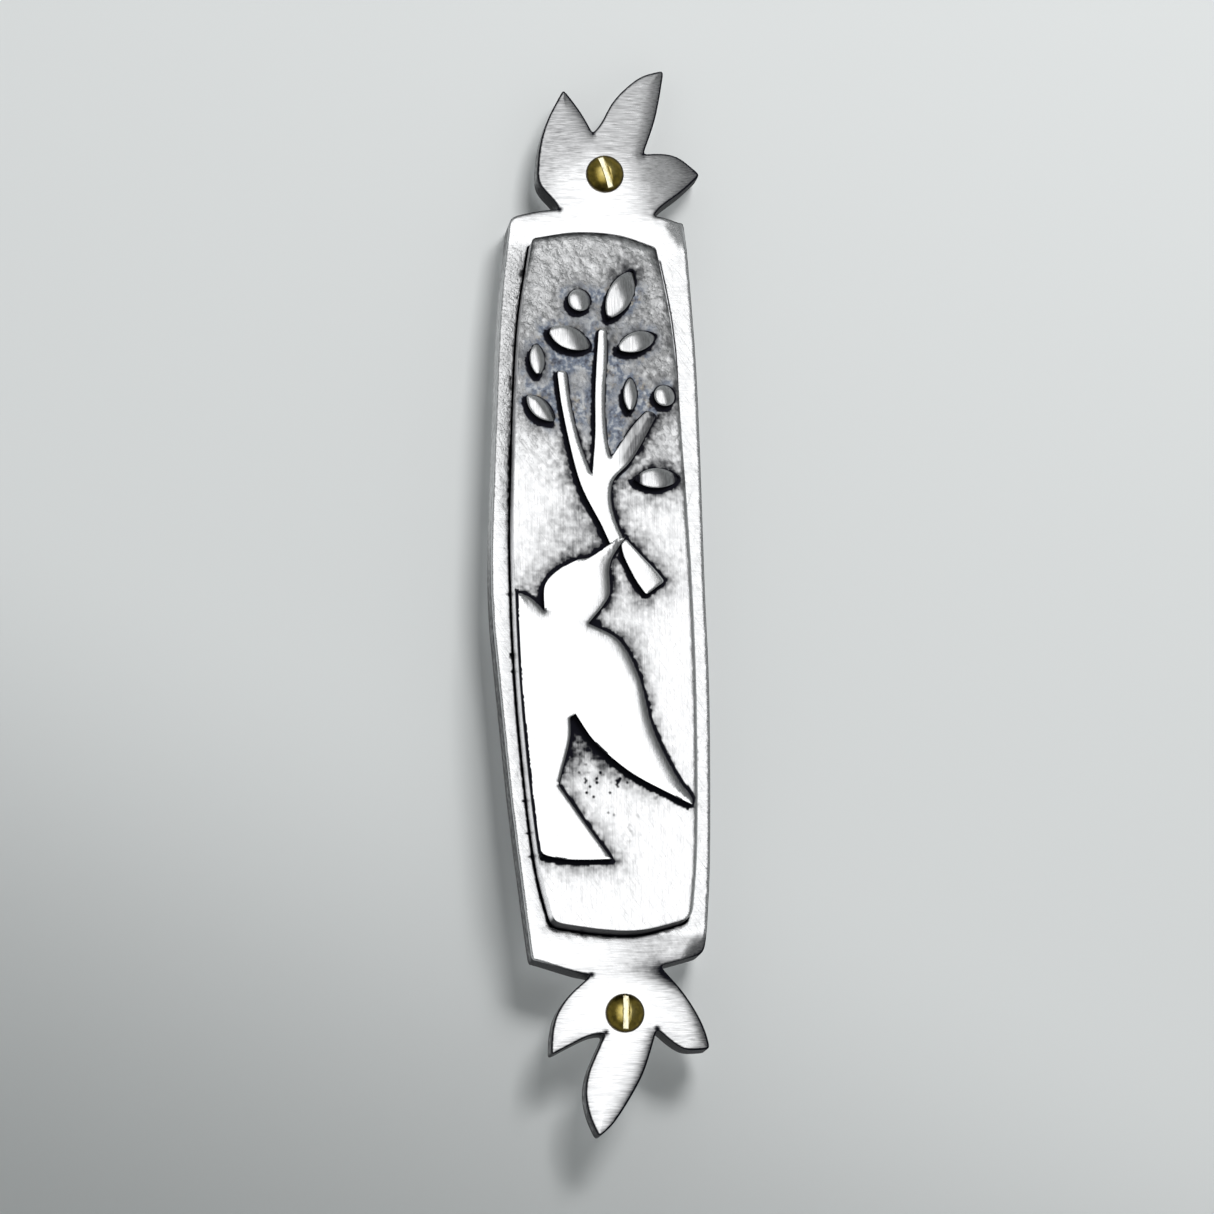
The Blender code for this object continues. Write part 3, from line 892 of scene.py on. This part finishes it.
def frame_sides(build, outer, window, bores, rings, front_depth):
    """Outer walls, the rebated window and the bores, down to the back that steps in behind the finials."""
    body = refine(slice_loops("case_frame", BODY_BACK_SLICE)[0], 0.4)
    back_outer = offset(outer, -0.05)
    rebate = offset(window, REBATE_WIDTH)

    def back_depth(points):
        return np.where(inside(points, body), 0.0, FINIAL_BACK)

    back = back_depth(back_outer)
    # The outer walls' dark finish, with painted shade added
    wall = wall_shade(outer)
    sides = [(outer, front_depth + (back + 0.25 - front_depth) * part, tone + wall, 0.6)
             for part, tone in ((0.2, 0.45), (0.6, 0.4), (1.0, 0.5))]
    known = [build.walls(rings[0], [*sides, (back_outer, back, 0.5, 0.6)])]
    known.append(build.walls(rings[1], [(window, 4.6, 1.0, 0.5), (window, LEDGE, 0.9, 0.5),
                                        (rebate, LEDGE, 0.6, 0.5), (rebate, 0.0, 0.4, 0.5)]))
    for bore, ring in zip(bores, rings[2:]):
        known.append(build.walls(ring, [(bore, FINIAL_BACK, 0.5, 0.0)]))
    loops = [back_outer, rebate, *bores]
    build.sheet(loops, known, even_points(outer, loops, BACK_STEP), back_depth, patina=0.25, texture=0.8)


def wall_shade(outer):
    """Painted shade on the outer walls: on the finials, most where they face down, and low on the left."""
    way = np.roll(outer, -1, axis=0) - np.roll(outer, 1, axis=0)
    downward = np.clip(way[:, 0] / np.linalg.norm(way, axis=1), 0, 1)
    finials = (0.16 + 0.36 * downward) * smooth(38, 48, np.abs(outer[:, 1]))
    return np.maximum(finials, 0.24 * fade(-6, 14, outer[:, 1]) * (outer[:, 0] < 0))


# -------- screws

HEAD_SIDES = 96
HEAD_POINT_STEP = 0.13
HEAD_ANGLE = math.radians(72)
SLOT_HALF = 0.39
SLOT_DEPTH = 0.75
SHANK_RADIUS = 1.2
THREAD_PITCH = 0.9
THREAD_DEPTH = 0.32
RINGS_PER_THREAD = 10
POINT_LENGTH = 3.2


def screw_piece(node, body, slot_angle, material):
    """A slotted round-head wood screw: a domed head with a sawn slot on a threaded, pointed shank."""
    low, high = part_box(node)
    centre, radius = centre_of(node), (high[0] - low[0]) / 2 / MM
    top, tip, seat = -low[1] / MM, -high[1] / MM, seat_depth(node)
    build = Build()
    across = np.array([math.cos(math.radians(slot_angle)), math.sin(math.radians(slot_angle))])
    flat, triangles, rings = head_net(radius, across)
    reach = np.clip(np.linalg.norm(flat, axis=1) / radius, 0, 1)
    dome = np.minimum(seat + (top - seat) / math.sin(HEAD_ANGLE) * np.sqrt(1 - reach**2), top + 0.03)
    slot_floor = top - SLOT_DEPTH + 0.03 * lattice_noise(flat, 0.4, 61)
    from_slot = np.abs(flat @ across)
    wall = smooth(0.33, SLOT_HALF, from_slot)
    patina_wear_and_shade = 0.04 * fade(SLOT_HALF, 0.5, from_slot)
    depth = np.minimum(dome, slot_floor) * (1 - wall) + (dome - patina_wear_and_shade) * wall
    bare = fade(0.30, 0.37, from_slot) * (dome > slot_floor)
    # Painted shade growing towards the head's rim
    tarnish_and_rim_shade = 0.5 * smooth(0.35, 0.85, reach) + 0.5 * smooth(0.9, 1.0, reach)
    # The bright patch round the head's middle, given as its texture value, is a painted highlight
    head = build.add(flat + centre, depth, patina=tarnish_and_rim_shade, blue=bare, texture=bell(reach, 0.36))
    build.add_triangles(head, triangles)
    underside = (circle(HEAD_SIDES) * radius * 0.99 + centre, seat - 0.02, 0.8, 0.0)
    ring = build.walls(head[rings[0]], [underside, *thread_rings(centre, seat, tip)])
    build.faces.append(tuple(ring))
    build.finish(node + "_turned", material, body, node, "screw_brass")


def seat_depth(node):
    """Depth at which a screw's solid widens from its shank to its head, in mm."""
    co = corner_points(node)
    centre = (co[:, [0, 2]].min(0) + co[:, [0, 2]].max(0)) / 2
    wide = np.linalg.norm(co[:, [0, 2]] - centre, axis=1) > 1.5
    return float(-co[wide, 1].max())


def head_net(radius, across):
    """A net of triangles over a screw's head, with lines along both sides of its slot."""
    rim = radius * circle(HEAD_SIDES)
    along = np.array([-across[1], across[0]])
    reach = np.linspace(-0.93, 0.93, 40)[:, None] * radius
    lines = [along * reach + across * side for side in (-0.46, -0.38, -0.32, 0.32, 0.38, 0.46)]
    grid = lattice((-radius, -radius), (radius, radius), HEAD_POINT_STEP)
    grid = grid[np.linalg.norm(grid, axis=1) < 0.84 * radius]
    loose = np.vstack([*(rim * k for k in (0.995, 0.985, 0.965, 0.93, 0.88)), grid])
    loose = loose[np.abs(np.abs(loose @ across) - SLOT_HALF) > 0.1]
    return triangulate([rim], lines, loose)[:3]


def thread_rings(centre, seat, tip):
    """Steps of wall down a shank whose helical thread runs out above and narrows to a point below."""
    around = np.linspace(0, 1, HEAD_SIDES, endpoint=False)
    for depth in np.linspace(seat - 0.05, tip, int((seat - tip) / THREAD_PITCH * RINGS_PER_THREAD)):
        phase = (depth / THREAD_PITCH - around) % 1.0
        ridge = np.maximum(0, 1 - np.abs(phase - 0.5) / 0.32)
        threaded = smooth(1.8, 2.6, seat - depth)
        radius = SHANK_RADIUS - THREAD_DEPTH * threaded * (1 - ridge)
        radius *= 0.1 + 0.9 * smooth(0.0, POINT_LENGTH, depth - tip)
        yield circle(HEAD_SIDES) * radius[:, None] + centre, depth, 0.25 * (1 - ridge) * threaded, 0.0


# -------- back cover

COVER_STEP = 0.5
PIN_MARKS = np.array([(x, z) for x in (-5.5, 5.0) for z in (-34, -2, 30)])
PIN_RADIUS = 1.42
PLATE_INSIDE = 1.2
LIP_TOP = 3.0


def cover_piece(material):
    """The moulded back cover: a textured plate with rounded edges, pin marks and a lip inside."""
    plate = refine(slice_loops("back_cover", PLATE_SLICE)[0], COVER_STEP)
    lip, well = (refine(loop, COVER_STEP) for loop in slice_loops("back_cover", LIP_SLICE)[:2])
    build = Build()
    ring = cover_back(build, plate)
    edge = ((0.12, 0.04), (0.04, 0.12), (0.0, 0.28), (0.0, 1.1), (0.1, PLATE_INSIDE))
    ring = build.walls(ring, [(offset(plate, -cut), level, 0.0, 0.6) for cut, level in edge])
    ring = build.sheet([offset(plate, -0.1), lip], [ring], np.zeros((0, 2)), PLATE_INSIDE, texture=0.6)[1]
    narrow = offset(lip, -0.12)
    ring = build.walls(ring, [(lip, LIP_TOP - 0.15, 0.0, 0.3), (narrow, LIP_TOP, 0.0, 0.3)])
    ring = build.sheet([narrow, well], [ring], np.zeros((0, 2)), LIP_TOP, texture=0.3)[1]
    ring = build.walls(ring, [(well, PLATE_INSIDE, 0.0, 0.3)])
    build.sheet([well], [ring], even_points(well, [well], 1.5), PLATE_INSIDE, texture=0.3)
    build.finish("back_cover_moulded", material, "cover", "back_cover", "grey_plastic")


def from_marks(points):
    """Distance from each point to the middle of the nearest pin mark."""
    return np.min([np.linalg.norm(points - mark, axis=1) for mark in PIN_MARKS], axis=0)


def cover_back(build, plate):
    """The cover's back face, with its round pin marks sunk in; returns its outline's ring."""
    outline = offset(plate, -0.3)
    grid = even_points(plate, [outline], COVER_STEP, 0.2)
    grid = grid[np.abs(from_marks(grid) - PIN_RADIUS) > 0.25]
    circles = [mark + radius * circle(32) for mark in PIN_MARKS for radius in (1.35, PIN_RADIUS, 1.5)]
    flat, triangles, rings, seeds = triangulate([outline], [], np.vstack([grid, *circles]))
    depth = 0.05 * fade(1.36, 1.48, from_marks(flat)) + 0.012 * (1 + cast_noise(flat, 71))
    back = build.add(flat, depth, texture=1.0)
    build.add_triangles(back, triangles[inside(seeds, outline)])
    return back[rings[0]]


# -------- scroll and sleeve

SHEET_ROWS = 25


def rolled_sheet(outer, pitch, thickness, turns, sides, reach, wobble, seed):
    """A closed strip rolled about the scroll's axis, with its sizes in mm."""
    low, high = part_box("scroll_sleeve")
    axis_x, axis_depth = (low[0] + high[0]) / 2 / MM, -(low[1] + high[1]) / 2 / MM
    angles = np.linspace(0, 2 * math.pi * turns, int(turns * sides) + 1)
    waves = np.random.default_rng(seed).uniform(-1, 1, (6, 2)) * np.array([1, math.pi])
    ragged = reach + wobble * sum(w * np.sin(angles * (k + 1) / 3 + p) for k, (w, p) in enumerate(waves))
    build = Build()

    def face(inward):
        grid = []
        for row in np.linspace(-1, 1, SHEET_ROWS):
            ripple = wobble * np.sin(angles * 5 + row * 4) * 0.5
            radius = outer - pitch * angles / (2 * math.pi) - inward + ripple - wobble
            points = np.stack([axis_x + radius * np.cos(angles), row * ragged], axis=1)
            grid.append(build.add(points, axis_depth + radius * np.sin(angles), texture=0.5))
        return np.array(grid)

    out, back = face(0.0), face(thickness)
    rings = np.hstack([out, back[:, ::-1]])
    for ring, after in zip(rings, rings[1:]):
        build.bridge(ring, after)
    for i in (0, -1):
        build.faces += zip(out[i], out[i, 1:], back[i, 1:], back[i])
    return build


def scroll_piece(material):
    """The parchment, rolled three times round."""
    build = rolled_sheet(outer=2.74, pitch=0.55, thickness=0.22, turns=3, sides=64,
                         reach=half_length("scroll") - 0.2, wobble=0.03, seed=81)
    build.finish("scroll_rolled", material, "rolled_scroll", "scroll", "parchment")


def sleeve_piece(material):
    """The clear film wrapped once round the scroll, with a short overlap."""
    build = rolled_sheet(outer=3.2, pitch=0.085, thickness=0.035, turns=1.15, sides=96,
                         reach=half_length("scroll_sleeve") - 0.05, wobble=0.01, seed=82)
    build.finish("scroll_sleeve_film", material, "rolled_scroll", "scroll_sleeve", "clear_film")


# -------- materials

# A mix node's data type, the numbers of its two inputs and that of its output
COLOUR_SOCKETS = ("RGBA", 6, 7, 2)
NUMBER_SOCKETS = ("FLOAT", 2, 3, 0)


class Value:
    """The output of a shader node, which plain arithmetic can be done with."""

    def __init__(self, nodes, socket):
        self.nodes, self.socket = nodes, socket

    def __add__(self, other):
        return self.nodes.maths("ADD", self, other)

    def __radd__(self, other):
        return self.nodes.maths("ADD", other, self)

    def __sub__(self, other):
        return self.nodes.maths("SUBTRACT", self, other)

    def __rsub__(self, other):
        return self.nodes.maths("SUBTRACT", other, self)

    def __mul__(self, other):
        return self.nodes.maths("MULTIPLY", self, other)

    def clamp(self):
        """The same value, kept between 0 and 1."""
        self.socket.node.use_clamp = True
        return self


class Nodes:
    """Short ways to add nodes to one material's or world's tree."""

    def __init__(self, owner):
        owner.use_nodes = True
        self.tree = owner.node_tree

    def new(self, kind, inputs=(), output=0, **settings):
        """Add a node with these inputs and settings, and return one of its outputs."""
        made = self.tree.nodes.new("ShaderNode" + kind)
        for key, setting in settings.items():
            setattr(made, key, setting)
        for key, item in dict(inputs).items():
            self.feed(made.inputs[key], item)
        return Value(self, made.outputs[output])

    def feed(self, socket, item):
        """Set an input: a Value is linked to it, and a colour of three numbers gets its fourth."""
        if isinstance(item, Value):
            self.tree.links.new(item.socket, socket)
        else:
            socket.default_value = (*item, 1) if socket.type == "RGBA" else item

    def maths(self, operation, a, b):
        return self.new("Math", {0: a, 1: b}, operation=operation)

    def noise(self, per_mm, detail=3, stretch=(1, 1, 1), roughness=0.5, turn=0.0):
        """Noise in the object's own space, turned about its depth and then stretched."""
        where = self.new("TexCoord", output="Object")
        if turn:
            where = self.new("Mapping", {"Vector": where, "Rotation": (0, turn, 0)})
        where = self.new("Mapping", {"Vector": where, "Scale": tuple(v / MM for v in stretch)})
        inputs = {"Vector": where, "Scale": per_mm, "Detail": detail, "Roughness": roughness}
        return self.new("TexNoise", inputs, "Fac")

    def blend(self, factor, a, b, sockets=COLOUR_SOCKETS):
        """A mix of two colours, or of two numbers."""
        data_type, socket_a, socket_b, result = sockets
        return self.new("Mix", {0: factor, socket_a: a, socket_b: b}, result, data_type=data_type)

    def ramp(self, value, low, high):
        """A smooth step from 0 at low to 1 at high."""
        inputs = {"Value": value, "From Min": low, "From Max": high}
        return self.new("MapRange", inputs, interpolation_type="SMOOTHSTEP")


class Material(Nodes):
    """A new material, with the named values that the meshes carry."""

    def __init__(self, name):
        self.material = bpy.data.materials.new(name)
        super().__init__(self.material)
        self.shader = self.tree.nodes["Principled BSDF"]

    def carried(self, name):
        return self.new("Attribute", output="Fac", attribute_name=name)

    def finish(self, height, depth, strength, **inputs):
        """Set the surface's inputs, with a bump this deep in mm; returns the material."""
        bump = {"Height": height, "Distance": depth * MM, "Strength": strength}
        self.set(Normal=self.new("Bump", bump), **inputs)
        return self.material

    def set(self, **inputs):
        """Set inputs of the surface's shader."""
        for key, item in inputs.items():
            self.feed(self.shader.inputs[key.replace("_", " ")], item)


BARE_PEWTER = (0.985, 0.99, 1.0)
# The antique finish's black, also used for painted shade
BLACK_PATINA_AND_SHADE = (0.006, 0.006, 0.010)
BLUE_GREY = (0.15, 0.185, 0.255)
STAINED = (0.34, 0.30, 0.24)
PALE_FLAKE = (0.64, 0.66, 0.69)
DARK_FLECK = (0.02, 0.025, 0.05)
CAST_ROUGHNESS = 0.55


def pewter(name, brushing, brightness):
    """Cast pewter: bright where it is brushed, black or blue-grey where the antique finish stays, and black
    where shade is painted.
    """
    n = Material(name)
    patina, blue, rough_cast = n.carried("patina"), n.carried("blue"), n.carried("texture")
    brushed = n.noise(1.0, 4, brushing, CAST_ROUGHNESS)
    flakes, grain, lumps, stains = (n.noise(per_mm, detail, roughness=CAST_ROUGHNESS)
                                    for per_mm, detail in ((1.5, 3), (2.4, 5), (0.55, 3), (0.9, 4)))
    scratches = n.noise(1.0, 2, (7, 7, 0.35), turn=math.radians(35))

    def tone(gain):
        return tuple(gain * brightness * v for v in BARE_PEWTER)

    cast = (rough_cast * 4.0).clamp()
    speckle = flakes * cast + brushed * (1.0 - cast)
    # Darkness from the antique finish and painted shade, broken up by speckle
    patina_wear_and_shade = (patina + (speckle - 0.5) * 0.5) * n.maths("GREATER_THAN", patina, 0.001)
    dark = n.ramp(patina_wear_and_shade, 0.10, 0.80)
    mottle = lumps + (grain - 0.5) * 0.7
    metal = n.blend((mottle * rough_cast).clamp(), tone(1.0), tone(0.45))
    metal = n.blend(((brushed - 0.52) * 3.2).clamp() * 0.42, metal, tone(0.55))
    scored = ((scratches - 0.56) * 9.0).clamp() * (rough_cast * 3.0).clamp() * 0.5
    metal = n.blend(scored, metal, tone(0.4))
    tinted = n.blend(((stains - 0.52) * 6.0).clamp(), BLUE_GREY, STAINED)
    tinted = n.blend(((flakes - 0.50) * 6.0).clamp(), tinted, PALE_FLAKE)
    tinted = n.blend(((0.47 - flakes) * 7.0).clamp(), tinted, DARK_FLECK)
    colour = n.blend(dark, n.blend(blue * 0.92, metal, tinted), BLACK_PATINA_AND_SHADE)

    covered = n.maths("MAXIMUM", dark, blue * 0.75)
    matt = n.maths("MAXIMUM", n.ramp(dark, 0.65, 1.0), blue * 0.75)
    rough = (0.26 + rough_cast * 0.08 + (brushed - 0.5) * 0.16 + covered * 0.2).clamp()
    crust = grain * 4.0 + n.ramp(flakes, 0.46, 0.54) * 1.6
    return n.finish(brushed * 0.25 + crust * rough_cast, 0.06, 0.35, Base_Color=colour, Metallic=1.0 - matt,
                    Roughness=rough, Specular_IOR_Level=0.5 - dark * 0.46)


def brass():
    """Brass turned olive-brown and pale in its slot where the screwdriver has been, with a painted highlight
    round the head's middle and painted shade towards its rim.
    """
    n = Material("screw_brass")
    tarnish_and_rim_shade, fine = n.noise(1.6, 4), n.noise(9.0, 2)
    body = n.blend(n.ramp(tarnish_and_rim_shade, 0.35, 0.7), (0.38, 0.28, 0.05), (0.21, 0.16, 0.03))
    # Painted highlight round the head's middle
    body = n.blend(n.carried("texture") * 0.7, body, (0.95, 0.82, 0.36))
    # Painted shade towards the head's rim, and the dark of the thread and the head's underside
    body = n.blend(n.carried("patina") * 0.9, body, (0.05, 0.035, 0.01))
    colour = n.blend(n.carried("blue"), body, (0.98, 0.92, 0.66))
    return n.finish(fine, 0.02, 0.3, Base_Color=colour, Roughness=0.24 + fine * 0.16, Metallic=1.0)


def grey_plastic():
    """Dark grey moulded plastic with a fine grain."""
    n = Material("grey_plastic")
    grain = n.noise(4.0, 3)
    colour = n.blend(n.noise(0.15, 2), (0.13, 0.13, 0.14), (0.17, 0.17, 0.18))
    return n.finish(grain, 0.05, 0.5, Base_Color=colour, Roughness=0.42 + grain * 0.25)


def parchment():
    """Pale, cloudy parchment with fibres across it."""
    n = Material("parchment")
    fibre = n.noise(1.2, 5, (1, 1, 6))
    colour = n.blend(n.noise(0.25, 3), (0.80, 0.72, 0.55), (0.66, 0.55, 0.37))
    colour = n.blend(n.ramp(fibre, 0.5, 0.75) * 0.4, colour, (0.55, 0.43, 0.27))
    return n.finish(fibre, 0.03, 0.4, Base_Color=colour, Roughness=0.72, Subsurface_Weight=0.05)


def clear_film():
    """Thin clear film, slightly wrinkled."""
    n = Material("clear_film")
    return n.finish(n.noise(0.35, 2, (1, 1, 0.3)), 0.15, 0.3, Base_Color=(0.93, 0.95, 0.96), Roughness=0.08,
                    IOR=1.3, Transmission_Weight=0.95)


# -------- stage

# Directions are azimuth and elevation in degrees. Lengths are metres, but the sensor's are millimetres
CAMERA_WAY = (-8, -12)
CAMERA_DISTANCE = 0.70
CAMERA_ROLL = math.radians(-1.36)
CAMERA_AIM = Vector((-1.01, -4.49, -2.60)) * MM
VIEW_SIDE = 156.645 * MM
SENSOR_WIDTH = 36
FLOOR_Y = 1.8 * MM
FLOOR_TILT = 0.022
FLOOR_REACH = 3.0
KEY_WAY = (18, 32)
KEY_DISTANCE = 0.9
FLAG_AIM = Vector((-0.055, 0, -0.056))
FLAG_ALONG = 0.18
FLAG_HALF_WIDTH = 0.3
FLAG_HEIGHT = 0.2
FLAG_DOWN = Vector((-0.42, 0, -0.91)).normalized()


def towards(azimuth, elevation):
    """Unit vector from the object to something seen at this azimuth and elevation, in degrees."""
    a, e = math.radians(azimuth), math.radians(elevation)
    return Vector((math.sin(a) * math.cos(e), -math.cos(a) * math.cos(e), math.sin(e)))


def soft_light(name, way, reach, size, power):
    """A rectangular lamp that faces the object."""
    data = bpy.data.lights.new(name, "AREA")
    data.shape = "RECTANGLE"
    data.size, data.size_y = size
    data.energy = power
    lamp = place(name, data)
    lamp.location = towards(*way) * reach
    lamp.rotation_euler = (-lamp.location).to_track_quat("-Z", "Y").to_euler()
    return lamp


def card(name, corners):
    """A flat sheet of the stage, which no surface of the object reflects."""
    mesh = bpy.data.meshes.new(name)
    mesh.from_pydata([tuple(c) for c in corners], [], [(0, 1, 2, 3)])
    sheet = place(name, mesh)
    sheet.visible_diffuse = False
    sheet.visible_glossy = False
    return sheet


def floor():
    """The pale surface behind the case, which its screw tips touch. It can't be seen from behind."""
    reach, rise = FLOOR_REACH, FLOOR_TILT * FLOOR_REACH
    near, far = FLOOR_Y - rise, FLOOR_Y + rise
    sheet = card("floor", [(-reach, far, -reach), (reach, far, -reach),
                           (reach, near, reach), (-reach, near, reach)])
    sheet.visible_shadow = False
    n = Material("pale_floor")
    n.set(Base_Color=(0.72, 0.735, 0.735), Roughness=0.9, Specular_IOR_Level=0.1)
    one_sided = n.new("MixShader", {0: n.new("NewGeometry", output="Backfacing"),
                                    1: Value(n, n.shader.outputs[0]), 2: n.new("BsdfTransparent")})
    n.feed(n.tree.nodes["Material Output"].inputs["Surface"], one_sided)
    sheet.data.materials.append(n.material)


def camera():
    """A long lens that looks up at the case from a little to its left, and is slightly tilted."""
    data = bpy.data.cameras.new("camera")
    data.sensor_width = SENSOR_WIDTH
    data.lens = CAMERA_DISTANCE / VIEW_SIDE * SENSOR_WIDTH
    data.clip_start, data.clip_end = 0.01, 20
    view = place("camera", data)
    way = towards(*CAMERA_WAY)
    view.location = CAMERA_AIM + way * CAMERA_DISTANCE
    aim = (-way).to_track_quat("-Z", "Y").to_matrix()
    view.rotation_euler = (aim @ Matrix.Rotation(CAMERA_ROLL, 3, "Z")).to_euler()
    bpy.context.scene.camera = view


def flag():
    """A card between the key light and the floor, whose soft shadow falls across the lower left."""
    centre = FLAG_AIM.lerp(towards(*KEY_WAY) * KEY_DISTANCE, FLAG_ALONG)
    side = Vector((FLAG_DOWN.z, 0, -FLAG_DOWN.x)) * FLAG_HALF_WIDTH
    drop = FLAG_DOWN * FLAG_HEIGHT
    sheet = card("flag", [centre + side, centre - side, centre - side + drop, centre + side + drop])
    sheet.visible_camera = False


def world_light():
    """Pale surroundings: even for matt surfaces, and for metal dim in front and bright behind."""
    n = Nodes(bpy.data.worlds.new("studio"))
    backward = n.new("SeparateXYZ", {0: n.new("TexCoord", output="Generated")}, "Y")
    shine = n.new("MapRange", {"Value": backward, "From Min": -0.9, "From Max": 0.4,
                               "To Min": 0.10, "To Max": 0.75})
    strength = n.blend(n.new("LightPath", output="Is Glossy Ray"), 0.33, shine, NUMBER_SOCKETS)
    strength = n.blend(n.new("LightPath", output="Is Camera Ray"), strength, 0.8, NUMBER_SOCKETS)
    back = n.tree.nodes["Background"].inputs
    n.feed(back["Strength"], strength)
    n.feed(back["Color"], (0.96, 1.0, 1.0))
    bpy.context.scene.world = bpy.data.worlds["studio"]


def studio():
    """Floor, camera and lights. Only matt surfaces see the key light, and only shiny ones the sheen."""
    floor()
    camera()
    soft_light("key", KEY_WAY, KEY_DISTANCE, (0.34, 0.34), 6.3).visible_glossy = False
    flag()
    sheen = soft_light("sheen", (-7, 0), 1.0, (1.06, 1.40), 6.9)
    sheen.visible_diffuse = False
    sheen.visible_camera = False
    soft_light("back", (160, 35), 0.9, (0.5, 0.5), 5)
    world_light()
    bpy.context.scene.view_settings.view_transform = "Standard"


studio()
panel_piece(pewter("relief_pewter", (9.0, 9.0, 0.35), 0.86))
frame_piece(pewter("antique_pewter", (0.45, 9.0, 9.0), 0.84))
screw_brass = brass()
screw_piece("upper_screw", "upper_fixing", 17.5, screw_brass)
screw_piece("lower_screw", "lower_fixing", -1.5, screw_brass)
cover_piece(grey_plastic())
scroll_piece(parchment())
sleeve_piece(clear_film())
